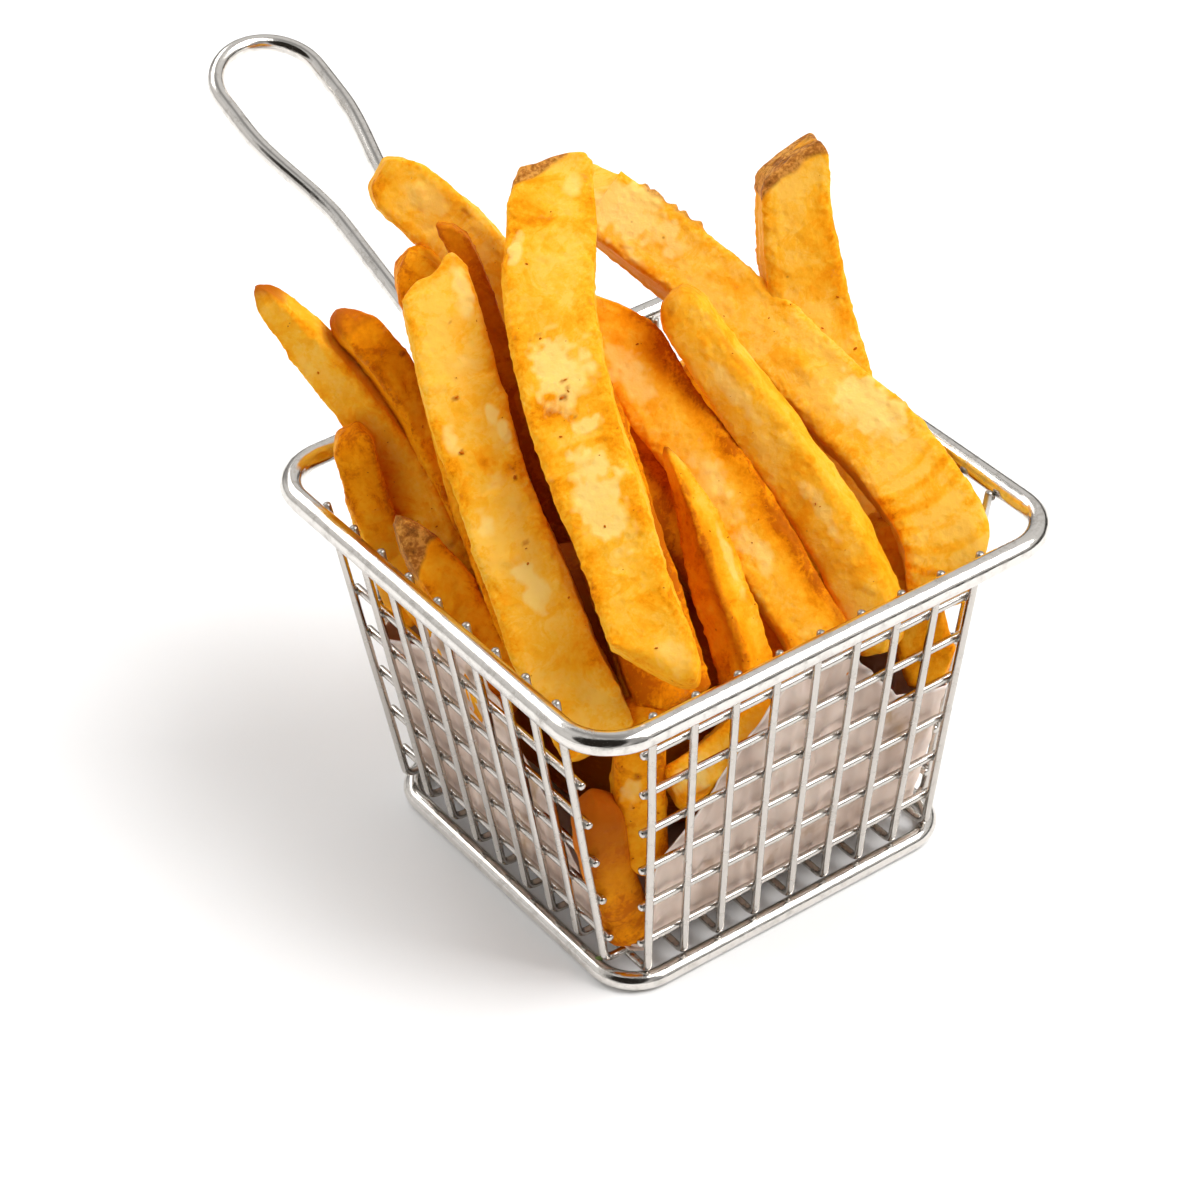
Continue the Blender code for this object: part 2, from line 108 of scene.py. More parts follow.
def cappedGrid(rings, poles):
    # rings of points, closed at both ends by faces that run to two poles
    rows, around = rings.shape[:2]
    count = rows * around
    tris = np.concatenate([fanFaces(np.arange(around), count, True),
                           fanFaces(np.arange(around) + (rows - 1) * around, count + 1, False)])
    return np.concatenate([rings.reshape(-1, 3), poles]), gridFaces(rows, around), tris


def joinSurfaces(surfaces):
    # several surfaces, each (points, quads, tris, uv), as the arrays of one mesh
    starts = np.cumsum([0] + [len(surface[0]) for surface in surfaces[:-1]])
    points = np.concatenate([surface[0] for surface in surfaces])
    quads = np.concatenate([surface[1] + start for surface, start in zip(surfaces, starts)])
    tris = np.concatenate([surface[2] + start for surface, start in zip(surfaces, starts)])
    uv = np.concatenate([surface[3] for surface in surfaces])
    return points, quads, tris, uv


def unit(vectors):
    # each vector divided by its length
    return vectors / np.maximum(np.linalg.norm(vectors, axis=-1, keepdims=True), 1e-9)


def cellNumber(cells, seed):
    # a fixed number from 0 to 1 for each whole-number cell
    mixed = cells[..., 0] * 73856093 ^ cells[..., 1] * 19349663 ^ cells[..., 2] * 83492791
    mixed = (mixed ^ (seed * 40503 + 977)) & 0x7FFFFFFF
    mixed = ((mixed ^ (mixed >> 13)) * 1274126177) & 0x7FFFFFFF
    mixed = ((mixed ^ (mixed >> 15)) * 60493) & 0x7FFFFFFF
    return (mixed >> 7 & 0xFFFF) / 65535.0


def noise(points, size, seed=0):
    # smooth noise from -1 to 1: random numbers at the corners of cubes, eased from corner to corner
    scaled = points / size + 1000.0
    cell = np.floor(scaled).astype(np.int64)
    part = scaled - cell
    part = part * part * (3 - 2 * part)
    total = 0.0
    for corner in range(8):
        offset = np.array([corner & 1, corner >> 1 & 1, corner >> 2 & 1])
        weight = np.prod(np.where(offset == 1, part, 1 - part), axis=-1)
        total = total + weight * cellNumber(cell + offset, seed)
    return total * 2 - 1


def smoothStep(low, high, values):
    # 0 below low, 1 above high, and eased between them
    share = np.clip((values - low) / (high - low), 0.0, 1.0)
    return share * share * (3 - 2 * share)


def smoothCurve(knots, values, places):
    # a cubic between knots, whose slope at each knot is that of the curve through its neighbours
    slopes = np.gradient(values, knots, axis=0)
    index = np.clip(np.searchsorted(knots, places) - 1, 0, len(knots) - 2)
    step = (knots[index + 1] - knots[index])[:, None]
    s = (places - knots[index])[:, None] / step
    start, end = values[index], values[index + 1]
    return (start * (1 + 2 * s) * (1 - s) ** 2 + end * s * s * (3 - 2 * s)
            + slopes[index] * step * s * (1 - s) ** 2 + slopes[index + 1] * step * s * s * (s - 1))


# ---- materials

def newMaterial(name):
    # an empty material, and what is needed to add nodes to it
    material = bpy.data.materials.new(name)
    material.use_nodes = True
    nodes = material.node_tree.nodes
    return material, nodes, material.node_tree.links, nodes["Principled BSDF"]


def addNode(nodes, kind, **values):
    # a shader node with its settings (names) and unlinked inputs (names that start with a capital)
    node = nodes.new(kind)
    for key, value in values.items():
        if key[0].isupper():
            node.inputs[key.replace("_", " ")].default_value = value
        else:
            setattr(node, key, value)
    return node


def addNoise(nodes, links, vector, **values):
    # a noise texture at the given coordinates
    node = addNode(nodes, "ShaderNodeTexNoise", **values)
    links.new(vector, node.inputs["Vector"])
    return node.outputs["Fac"]


def addRamp(nodes, links, value, stops):
    # the grey or colour that belongs to a value, blended evenly from stop to stop
    ramp = nodes.new("ShaderNodeValToRGB")
    elements = ramp.color_ramp.elements
    for number, (place, colour) in enumerate(stops):
        element = elements[number] if number < 2 else elements.new(place)
        element.position = place
        element.color = (*colour, 1.0) if isinstance(colour, tuple) else (colour, colour, colour, 1.0)
    links.new(value, ramp.inputs["Fac"])
    return ramp.outputs["Color"]


def mixColour(nodes, links, factor, first, second, blend="MIX"):
    # the colours may be tuples or sockets, the factor a number or a socket
    node = nodes.new("ShaderNodeMix")
    node.data_type = "RGBA"
    node.blend_type = blend
    for socket, value in ((node.inputs[0], factor), (node.inputs[6], first), (node.inputs[7], second)):
        if isinstance(value, bpy.types.NodeSocket):
            links.new(value, socket)
        elif isinstance(value, tuple):
            socket.default_value = (*value, 1.0)
        else:
            socket.default_value = value
    return node.outputs[2]


def mathNode(nodes, links, operation, *values, clamp=False):
    # the values may be numbers or sockets
    node = nodes.new("ShaderNodeMath")
    node.operation = operation
    node.use_clamp = clamp
    for socket, value in zip(node.inputs, values):
        if isinstance(value, bpy.types.NodeSocket):
            links.new(value, socket)
        else:
            socket.default_value = value
    return node.outputs[0]


def attributeNode(nodes, name):
    # a value that the mesh carries at its points
    return addNode(nodes, "ShaderNodeAttribute", attribute_name=name).outputs["Fac"]


def addBump(nodes, links, shader, height, strength, distance):
    # low relief: the height is a value from 0 to 1, the distance is in metres
    bump = addNode(nodes, "ShaderNodeBump", Strength=strength, Distance=distance)
    links.new(height, bump.inputs["Height"])
    links.new(bump.outputs["Normal"], shader.inputs["Normal"])


def steelMaterial(name, look):
    # bright wire: soft grey drawing streaks along the wire, faint scratches and dull spots
    material, nodes, links, shader = newMaterial(name)
    uv = addNode(nodes, "ShaderNodeUVMap", uv_map="along")
    stretch = addNode(nodes, "ShaderNodeMapping")
    stretch.inputs["Scale"].default_value = look["streakScale"]
    links.new(uv.outputs["UV"], stretch.inputs["Vector"])
    streaks = addNoise(nodes, links, stretch.outputs["Vector"], Scale=1.0, Detail=4.0, Roughness=0.6)
    place = addNode(nodes, "ShaderNodeTexCoord").outputs["Object"]
    spots = addNoise(nodes, links, place, Scale=look["spotScale"], Detail=5.0, Roughness=0.65)
    dull = addRamp(nodes, links, spots, [(0.50, 0.0), (0.72, 1.0)])
    weld = attributeNode(nodes, "weld")
    colour = mixColour(nodes, links, streaks, look["dark"], look["bright"])
    colour = mixColour(nodes, links, dull, colour, look["spot"])
    colour = mixColour(nodes, links, weld, colour, look["weld"])
    links.new(colour, shader.inputs["Base Color"])
    rough = mathNode(nodes, links, "MULTIPLY", dull, look["spotRough"])
    rough = mathNode(nodes, links, "ADD", rough, look["roughness"])
    rough = mathNode(nodes, links, "MULTIPLY_ADD", weld, look["weldRough"], rough)
    links.new(rough, shader.inputs["Roughness"])
    shader.inputs["Metallic"].default_value = 1.0
    addBump(nodes, links, shader, streaks, look["bump"], 0.0001)
    return material


frameLook = {
    "streakScale": (0.35, 26.0, 1.0),
    "spotScale": 420.0,
    "dark": (0.68, 0.65, 0.61),
    "bright": (0.87, 0.84, 0.80),
    "spot": (0.56, 0.53, 0.49),
    "weld": (0.20, 0.185, 0.165),
    "roughness": 0.13,
    "spotRough": 0.18,
    "weldRough": 0.30,
    "bump": 0.25,
}
meshLook = dict(frameLook, roughness=0.20, dark=(0.51, 0.48, 0.445), bright=(0.73, 0.695, 0.65), bump=0.12)
polishedSteel = steelMaterial("polished_steel_wire", frameLook)
meshSteel = steelMaterial("drawn_steel_wire", meshLook)
print("steel materials made")


# ---- wires

def wireTube(path, radius, sides, reference, closed=False, flare=None):
    # a round wire: at each place of the path a circle, square to the path's direction, in the two
    # directions that the reference vector gives, closed to a rounded tip at each open end
    if closed:
        along = np.roll(path, -1, axis=0) - np.roll(path, 1, axis=0)
    else:
        along = np.gradient(path, axis=0)
    along = unit(along)
    across = unit(np.cross(along, reference))
    up = np.cross(along, across)
    lengths = np.linalg.norm(np.diff(path, axis=0), axis=1)
    travelled = np.concatenate([[0.0], np.cumsum(lengths)])
    size = np.full(len(path), float(radius)) if flare is None else radius * flare
    angle = 2 * math.pi * np.arange(sides) / sides
    ring = across[:, None] * np.cos(angle)[None, :, None] + up[:, None] * np.sin(angle)[None, :, None]
    rings = path[:, None] + ring * size[:, None, None]
    uv = np.stack(np.broadcast_arrays(travelled[:, None], angle[None, :] / (2 * math.pi)), -1).reshape(-1, 2)
    if closed:
        return rings.reshape(-1, 3), gridFaces(len(path), sides, True), np.zeros((0, 3), int), uv
    return *cappedGrid(rings, [path[0], path[-1]]), np.concatenate([uv, uv[[0, -1]]])


def roundTips(path, radius, steps=4):
    # adds places at both ends of a path, and the share of the wire's radius at each, for rounded tips
    turn = np.linspace(0.0, math.pi / 2, steps + 1)[:-1]
    first = unit(path[0] - path[1])
    last = unit(path[-1] - path[-2])
    head = path[0] + first * (np.cos(turn)[:, None]) * radius * 0.6
    tail = path[-1] + last * (np.cos(turn)[::-1][:, None]) * radius * 0.6
    tip = np.sin(turn) * 0.98 + 0.02
    return np.concatenate([head, path, tail]), np.concatenate([tip, np.ones(len(path)), tip[::-1]])


def bead(centre, axes, sides=10, rows=6):
    # a weld bead: an ellipsoid with the half axes that are given as three vectors
    polar = math.pi * (np.arange(1, rows) / rows)
    angle = 2 * math.pi * np.arange(sides) / sides
    shape = np.stack([np.sin(polar)[:, None] * np.cos(angle), np.sin(polar)[:, None] * np.sin(angle),
                      np.broadcast_to(np.cos(polar)[:, None], (rows - 1, sides))], -1).reshape(-1, 3)
    axes = np.array(axes, float)
    axes[0] *= np.sign(np.linalg.det(axes))
    points = np.concatenate([centre + shape @ axes, [centre + axes[2]], [centre - axes[2]]])
    quads = gridFaces(rows - 1, sides)[:, ::-1]
    tris = np.concatenate([fanFaces(np.arange(sides), len(points) - 2, False),
                           fanFaces(np.arange(sides) + (rows - 2) * sides, len(points) - 1, True)])
    return points, quads, tris, points[:, :2] * 0.1


def hoopPath(half, corner, height, steps, straight):
    # a square with round corners: four straight runs and four quarter circles
    runs = []
    for turn in sideTurns.values():
        start = math.radians(turn)
        normal = np.array([math.cos(start), math.sin(start)])
        tangent = np.array([-normal[1], normal[0]])
        reach = np.linspace(-(half - corner), half - corner, straight, endpoint=False)
        runs.append(normal * half + tangent * reach[:, None])
        angle = math.pi / 2 * np.arange(steps) / steps
        centre = (normal + tangent) * (half - corner)
        runs.append(centre + corner * (normal * np.cos(angle)[:, None] + tangent * np.sin(angle)[:, None]))
    flat = np.concatenate(runs)
    return np.column_stack([flat, np.full(len(flat), height)])


upwards = np.array([0.0, 0.0, 1.0])
rimPath = hoopPath(basket["rimHalf"], basket["rimCorner"], basket["rimHeight"], 18, 30)
rimSway = np.stack([noise(rimPath, 30.0, 3), noise(rimPath, 30.0, 4), noise(rimPath, 30.0, 5) * 0.5], -1)
rimPath = rimPath + rimSway * 0.12
ringPath = hoopPath(basket["ringHalf"], basket["ringCorner"], basket["ringWire"], 16, 24)
for hoop, path, radius, node in (("rim_wire", rimPath, basket["rimWire"], "top_rim"),
                                 ("base_ring_wire", ringPath, basket["ringWire"], "base_ring")):
    points, quads, tris, uv = wireTube(path, radius, 24, upwards, True)
    meshPiece(hoop, points, quads, tris, polishedSteel, "polished_steel", [node], uv=uv)
print("rim and ring made")

handleShape = {
    "wire": 1.5,
    "tilt": 21.0,
    "length": 83.4,
    "neckHalf": 5.9,
    "loopHalf": 9.8,
    "neckEnd": 40.0,
    "loopStart": 66.0,
    "legDrop": 8.0,
    "legTop": 1.8,
    "kneeRise": 1.6,
    "neckStart": 6.4,
    "clear": 0.1,
    "weldOut": 1.7,
    "weldHeight": 64.8,
    "weldHalves": (2.1, 1.1, 1.7),
}


def handlePath():
    # one half of the loop: a leg, a bend, the neck, an eased widening and a quarter circle, then mirrored
    shape = handleShape
    tilt = math.radians(shape["tilt"])

    def onPlane(across, along):
        across, along = np.broadcast_arrays(np.asarray(across, float), np.asarray(along, float))
        return np.stack([across, basket["rimHalf"] + along * math.cos(tilt),
                         basket["rimHeight"] + along * math.sin(tilt)], -1)

    out = basket["rimWire"] + shape["wire"] + shape["clear"]
    neck = shape["neckHalf"]
    leg = np.array([[neck, basket["rimHalf"] + out, basket["rimHeight"] - drop]
                    for drop in np.linspace(shape["legDrop"], shape["legTop"], 8)])
    start = leg[-1]
    end = onPlane(neck, shape["neckStart"])
    knee = np.array([neck, basket["rimHalf"] + out, basket["rimHeight"] + shape["kneeRise"]])
    share = np.linspace(0.0, 1.0, 12)[1:, None]
    bend = start * (1 - share) ** 2 + knee * 2 * share * (1 - share) + end * share ** 2
    run = onPlane(neck, np.linspace(shape["neckStart"], shape["neckEnd"], 14)[1:])
    widen = np.linspace(0.0, 1.0, 16)[1:]
    ease = widen * widen * (3 - 2 * widen)
    flare = onPlane(neck + (shape["loopHalf"] - neck) * ease,
                    shape["neckEnd"] + (shape["loopStart"] - shape["neckEnd"]) * widen)
    straight = onPlane(shape["loopHalf"], np.linspace(shape["loopStart"],
                                                      shape["length"] - shape["loopHalf"], 5)[1:])
    angle = np.linspace(0.0, math.pi / 2, 18)[1:]
    top = onPlane(shape["loopHalf"] * np.cos(angle),
                  shape["length"] + shape["loopHalf"] * (np.sin(angle) - 1))
    half = np.concatenate([leg, bend, run, flare, straight, top])
    other = half[-2::-1] * np.array([-1.0, 1.0, 1.0])
    return np.concatenate([half, other])


tiltNormal = np.array([0.0, -math.sin(math.radians(handleShape["tilt"])),
                       math.cos(math.radians(handleShape["tilt"]))])
legPath, legShare = roundTips(handlePath(), handleShape["wire"])
handleTube = wireTube(legPath, handleShape["wire"], 24, tiltNormal, flare=legShare)
handleWelds = [bead(np.array([side * handleShape["neckHalf"], basket["rimHalf"] + handleShape["weldOut"],
                              handleShape["weldHeight"]]), np.diag(handleShape["weldHalves"]), 14, 8)
               for side in (-1, 1)]
points, quads, tris, uv = joinSurfaces([handleTube] + handleWelds)
weldShare = (np.arange(len(points)) >= len(handleTube[0])).astype(float)
meshPiece("handle_wire", points, quads, tris, polishedSteel, "polished_steel", ["handle"],
          {"weld": weldShare * 0.6}, uv)
print("handle made")

meshShape = {
    "uprights": 9,
    "topPitch": 8.0,
    "footPitch": 7.3,
    "tipAboveRim": 0.1,
    "footOut": 33.4,
    "footBend": 1.9,
    "baseLevel": 3.7,
    "crossbars": 6,
    "topBar": 56.0,
    "barPitch": 9.15,
    "barStub": 0.8,
    "sink": 0.2,
    "tipLean": 0.15,
    "footShort": 0.5,
    "baseShort": 0.6,
    "sway": 0.16,
    "barSway": 0.12,
    "tipWeldOut": 0.6,
    "tipWeldDrop": 0.9,
    "tipWeldHalves": (0.85, 0.6, 0.6),
    "weldHalves": (0.86, 0.86, 0.42),
    "topShift": {"front": -1.0, "right": 0.7, "back": -1.0, "left": 0.7},
    "footShift": {"front": 0.3, "right": 1.1, "back": 0.3, "left": 1.1},
}
uprightTopOut = basket["rimHalf"] - basket["rimWire"] - 0.3 - basket["meshWire"]
lean = (uprightTopOut - meshShape["footOut"]) / (basket["rimHeight"] - meshShape["baseLevel"])


def uprightOut(height):
    # how far out the axis of an upright is at a height
    return uprightTopOut - (basket["rimHeight"] - height) * lean


def wallInside(height):
    # half of the width that is free inside the mesh at a height
    return uprightOut(height) - 3 * basket["meshWire"] + meshShape["sink"]


def sideWays(side):
    # the directions out of one side and along it
    turn = math.radians(sideTurns[side])
    normal = np.array([round(math.cos(turn)), round(math.sin(turn)), 0.0])
    return normal, np.abs(normal[[1, 0, 2]])


def sidePoints(side, out, along, height):
    # places near one side: distance out from the middle, place along the side, height
    normal, tangent = sideWays(side)
    out, along, height = np.broadcast_arrays(*(np.asarray(v, float) for v in (out, along, height)))
    return normal * out[..., None] + tangent * along[..., None] + upwards * height[..., None]


def baseLevel(side):
    # the height of the wires under the base: those of two sides lie on those of the other two
    lift = 2 * basket["meshWire"] - meshShape["sink"] if side in ("left", "right") else 0.0
    return meshShape["baseLevel"] + lift


def uprightPlace(side, index):
    # where the top and the foot of an upright lie along its side
    step = index - (meshShape["uprights"] - 1) / 2
    return (meshShape["topShift"][side] + step * meshShape["topPitch"],
            meshShape["footShift"][side] + step * meshShape["footPitch"])


def meshSide(side):
    # uprights that turn in under the base, crossbars on their inner faces and a bead at each crossing
    level = baseLevel(side)
    wire = basket["meshWire"]
    normal, tangent = sideWays(side)
    wires = []
    welds = []
    for index in range(meshShape["uprights"]):
        top, foot = uprightPlace(side, index)
        tipHeight = basket["rimHeight"] + meshShape["tipAboveRim"]
        tip = sidePoints(side, uprightOut(tipHeight) + meshShape["tipLean"], top, tipHeight)
        corner = sidePoints(side, uprightOut(level), foot, level)
        bend = meshShape["footBend"]
        above = corner + unit(tip - corner) * bend
        inward = sidePoints(side, uprightOut(level) - bend, foot, level)
        end = sidePoints(side, meshShape["footOut"] - bend - meshShape["footShort"], foot, level)
        share = np.linspace(0.0, 1.0, 24)[:-1, None]
        straight = tip * (1 - share) + above * share
        sway = noise(straight + index * 17.0, 14.0, 11) * meshShape["sway"]
        straight = straight + tangent * (sway[:, None] * np.sin(share * math.pi))
        share = np.linspace(0.0, 1.0, 9)[:, None]
        curve = above * (1 - share) ** 2 + corner * 2 * share * (1 - share) + inward * share ** 2
        path, size = roundTips(np.concatenate([straight, curve, [end]]), wire)
        wires.append(wireTube(path, wire, 12, tangent, flare=size))
        place = sidePoints(side, uprightOut(tipHeight) + meshShape["tipWeldOut"], top,
                           tipHeight - meshShape["tipWeldDrop"])
        long, tall, deep = meshShape["tipWeldHalves"]
        welds.append(bead(place, [tangent * long, upwards * tall, normal * deep]))
    for index in range(meshShape["crossbars"]):
        height = meshShape["topBar"] - index * meshShape["barPitch"]
        rise = (height - level) / (basket["rimHeight"] - level)
        places = np.array([foot + (top - foot) * rise for top, foot in
                           (uprightPlace(side, i) for i in range(meshShape["uprights"]))])
        out = uprightOut(height) - 2 * wire + meshShape["sink"]
        stops = np.linspace(places[0] - meshShape["barStub"], places[-1] + meshShape["barStub"], 40)
        path = sidePoints(side, out, stops, height)
        path[:, 2] += noise(path + index * 9.0, 16.0, 12) * meshShape["barSway"]
        path, size = roundTips(path, wire)
        wires.append(wireTube(path, wire, 12, upwards, flare=size))
        long, tall, deep = meshShape["weldHalves"]
        for place in places:
            welds.append(bead(sidePoints(side, uprightOut(height) - wire * 0.95, place, height),
                              [tangent * long, upwards * tall, normal * deep], 10, 4))
    return wires, welds


for side in sideTurns:
    wires, welds = meshSide(side)
    points, quads, tris, uv = joinSurfaces(wires + welds)
    wireCount = sum(len(wire[0]) for wire in wires)
    weldShare = np.where(np.arange(len(points)) >= wireCount, 0.8, 0.0)
    nearRim = smoothStep(basket["rimHeight"] - 2.0, basket["rimHeight"] - 1.0, points[:, 2])
    weldShare = np.maximum(weldShare, 0.55 * nearRim)
    meshPiece("mesh_wires_" + side, points, quads, tris, meshSteel, "mesh_steel", ["mesh_" + side],
              {"weld": weldShare}, uv)

baseWires = []
for side in ("front", "left"):
    level = baseLevel(side)
    for index in range(meshShape["uprights"]):
        foot = uprightPlace(side, index)[1]
        reach = meshShape["footOut"] - meshShape["footBend"] - meshShape["baseShort"]
        path = sidePoints(side, np.linspace(reach, -reach, 12), foot, level)
        path, size = roundTips(path, basket["meshWire"])
        baseWires.append(wireTube(path, basket["meshWire"], 12, upwards, flare=size))
points, quads, tris, uv = joinSurfaces(baseWires)
meshPiece("mesh_wires_base", points, quads, tris, meshSteel, "mesh_steel", ["mesh_base"], uv=uv)
print("mesh made")


# ---- paper

paperShape = {
    "thick": 0.16,
    "floor": 5.9,
    "floorHalf": 28.5,
    "turnHeight": 9.0,
    "corner": 5.5,
    "gap": 0.35,
    "rows": (6, 8, 60),    # over the floor, round the turn and up the wall
    "columns": 480,
    "edge": {    # height of the sheet's edge at shares of each side
        "front": [(0.0, 7.0), (0.055, 7.4), (0.068, 25.0), (0.09, 27.0), (0.45, 56.0), (0.55, 59.0),
                  (0.64, 55.0), (0.84, 37.0)],
        "right": [(0.0, 33.0), (0.30, 44.0), (0.52, 57.0), (0.75, 46.0)],
        "back": [(0.0, 34.0), (0.25, 45.0), (0.48, 58.0), (0.75, 44.0)],
        "left": [(0.0, 34.0), (0.20, 42.0), (0.40, 56.0), (0.52, 53.0), (0.73, 32.0), (0.90, 14.0)],
    },
}


def onRoundedSquare(share, half, corner):
    # the point at a share (0 to 4) of the way round a rounded square, from the front left corner
    side = np.minimum(np.floor(share), 3)
    along = (share - side) * 2 - 1
    turn = np.radians(-90.0 + 90.0 * side)
    normal = np.stack([np.cos(turn), np.sin(turn)], -1)
    tangent = np.stack([-normal[..., 1], normal[..., 0]], -1)
    reach = np.minimum(np.tan(math.radians(45.0) * np.abs(along)), 1.0) * half
    flat = half - corner
    over = np.stack([half - flat, np.maximum(reach - flat, 0.0)], -1)
    length = np.linalg.norm(over, axis=-1, keepdims=True)
    over = np.where(over[..., 1:] > 0, over * (corner[..., None] / length), over)
    x = flat + over[..., 0]
    y = np.copysign(np.minimum(reach, flat) + over[..., 1], along)
    return normal * x[..., None] + tangent * y[..., None]


def paperPoints(rows, columns):
    # the sheet on a grid: rows from the middle of the floor, round the turn and up the wall to the edge,
    # columns round the basket; pushed inwards by creases that grow up the wall
    shape = paperShape
    places = []
    for number, values in enumerate(shape["edge"].values()):
        places += [(number + place, height) for place, height in values]
    places.append((4.0, places[0][1]))
    knots, heights = np.array(places).T
    share = np.arange(columns) / columns * 4
    edge = np.interp(share, knots, heights)
    circle = np.stack([np.cos(share * math.pi / 2), np.sin(share * math.pi / 2), share * 0], -1)
    wobble = noise(circle * 30, 2.2, 21)
    edge = edge + wobble * 0.5 * smoothStep(12.0, 30.0, edge)
    level = np.concatenate([np.linspace(0.0, 1.0, rows[0], endpoint=False) - 1.0,
                            np.linspace(0.0, 1.0, rows[1], endpoint=False),
                            np.linspace(1.0, 2.0, rows[2])])[:, None]
    edge, share, level = np.broadcast_arrays(edge[None, :], share[None, :], level)
    wall = wallInside(shape["turnHeight"]) - shape["gap"]
    angle = math.pi / 2 * np.clip(level, 0.0, 1.0)
    turnTop = np.minimum(shape["turnHeight"], edge - 1.0)
    height = shape["floor"] + (turnTop - shape["floor"]) * (1 - np.cos(angle))
    half = shape["floorHalf"] + (wall - shape["floorHalf"]) * np.sin(angle)
    half = np.where(level < 0, shape["floorHalf"] * np.clip(1 + level, 0.001, 1), half)
    climb = np.clip(level - 1.0, 0.0, 1.0)
    height = np.where(level > 1, turnTop + (edge - turnTop) * climb, height)
    half = np.where(level > 1, wallInside(height) - shape["gap"], half)
    corner = np.minimum(shape["corner"], half * 0.3)
    flat = onRoundedSquare(share, half, corner)
    points = np.concatenate([flat, height[..., None]], -1)
    inwards = unit(np.concatenate([-flat, np.zeros_like(height)[..., None]], -1))
    wavePlace = np.stack([share * 20.0, height * 0.16, np.zeros_like(height)], -1)
    crease = np.abs(noise(wavePlace, 1.0, 31)) * 0.9 + np.abs(noise(wavePlace * 2.3, 1.0, 32)) * 0.45
    fine = np.abs(noise(points, 5.0, 33)) * 0.5
    strength = smoothStep(0.3, 1.2, level) * 0.9
    points = points + inwards * ((crease + fine) * strength)[..., None]
    points[..., 2] += np.where(level < 0.3, noise(points, 9.0, 34) * 0.25 + 0.2, 0.0)
    return points, share, level


def paperMaterial():
    # thin greaseproof paper: warm grey, a little see-through, with darker see-through grease spots and
    # painted shade and light in upright bands for its pleats
    material, nodes, links, shader = newMaterial("greaseproof_sheet")
    place = addNode(nodes, "ShaderNodeTexCoord").outputs["Object"]
    upright = addNode(nodes, "ShaderNodeMapping")
    upright.inputs["Scale"].default_value = (1.0, 1.0, 0.30)
    links.new(place, upright.inputs["Vector"])
    fibre = addNoise(nodes, links, place, Scale=900.0, Detail=4.0, Roughness=0.6)
    cloud = addNoise(nodes, links, upright.outputs["Vector"], Scale=90.0, Detail=3.0, Roughness=0.55)
    grease = addNoise(nodes, links, place, Scale=70.0, Detail=4.0, Roughness=0.6, Distortion=0.4)
    # painted shade and light: the sheet is darker and lighter in upright bands where its pleats would catch
    # or lose light
    crease = addRamp(nodes, links, cloud, [(0.36, 0.0), (0.62, 1.0)])
    spot = addRamp(nodes, links, grease, [(0.58, 0.0), (0.66, 0.8)])
    colour = mixColour(nodes, links, crease, (0.58, 0.43, 0.345), (0.84, 0.68, 0.575))
    colour = mixColour(nodes, links, spot, colour, (0.52, 0.33, 0.18))
    # the cut edge is paler: the second UV value is 40 there
    sheet = addNode(nodes, "ShaderNodeSeparateXYZ")
    uv = addNode(nodes, "ShaderNodeUVMap", uv_map="along")
    links.new(uv.outputs["UV"], sheet.inputs["Vector"])
    border = mathNode(nodes, links, "MULTIPLY_ADD", sheet.outputs["Y"], 2.0, -78.7, clamp=True)
    colour = mixColour(nodes, links, border, colour, (0.90, 0.80, 0.74))
    links.new(colour, shader.inputs["Base Color"])
    shader.inputs["Roughness"].default_value = 0.42
    shader.inputs["Subsurface Weight"].default_value = 0.25
    shader.inputs["Subsurface Radius"].default_value = (0.002, 0.0013, 0.0009)
    addBump(nodes, links, shader, fibre, 0.25, 0.0001)
    return material


def makePaper():
    # the grid is closed by a point in the middle of the floor, and Solidify gives the sheet its thickness
    columns = paperShape["columns"]
    points, share, level = paperPoints(paperShape["rows"], columns)
    flat = points.reshape(-1, 3)
    middlePoint = np.array([[0.0, 0.0, paperShape["floor"] + 0.2]])
    tris = fanFaces(np.arange(columns), len(flat), True)
    uv = np.stack([share.ravel() * 20.0, level.ravel() * 20.0], -1)
    quads = gridFaces(len(points), columns)
    piece = meshPiece("paper_sheet", np.concatenate([flat, middlePoint]), quads, tris, paperMaterial(),
                      "greaseproof_paper", ["paper_liner"], uv=np.concatenate([uv, [[0.0, 0.0]]]))
    wall = piece.modifiers.new("thickness", "SOLIDIFY")
    wall.thickness = paperShape["thick"] * mm
    wall.offset = -1.0


makePaper()
print("paper made")


# ---- chips

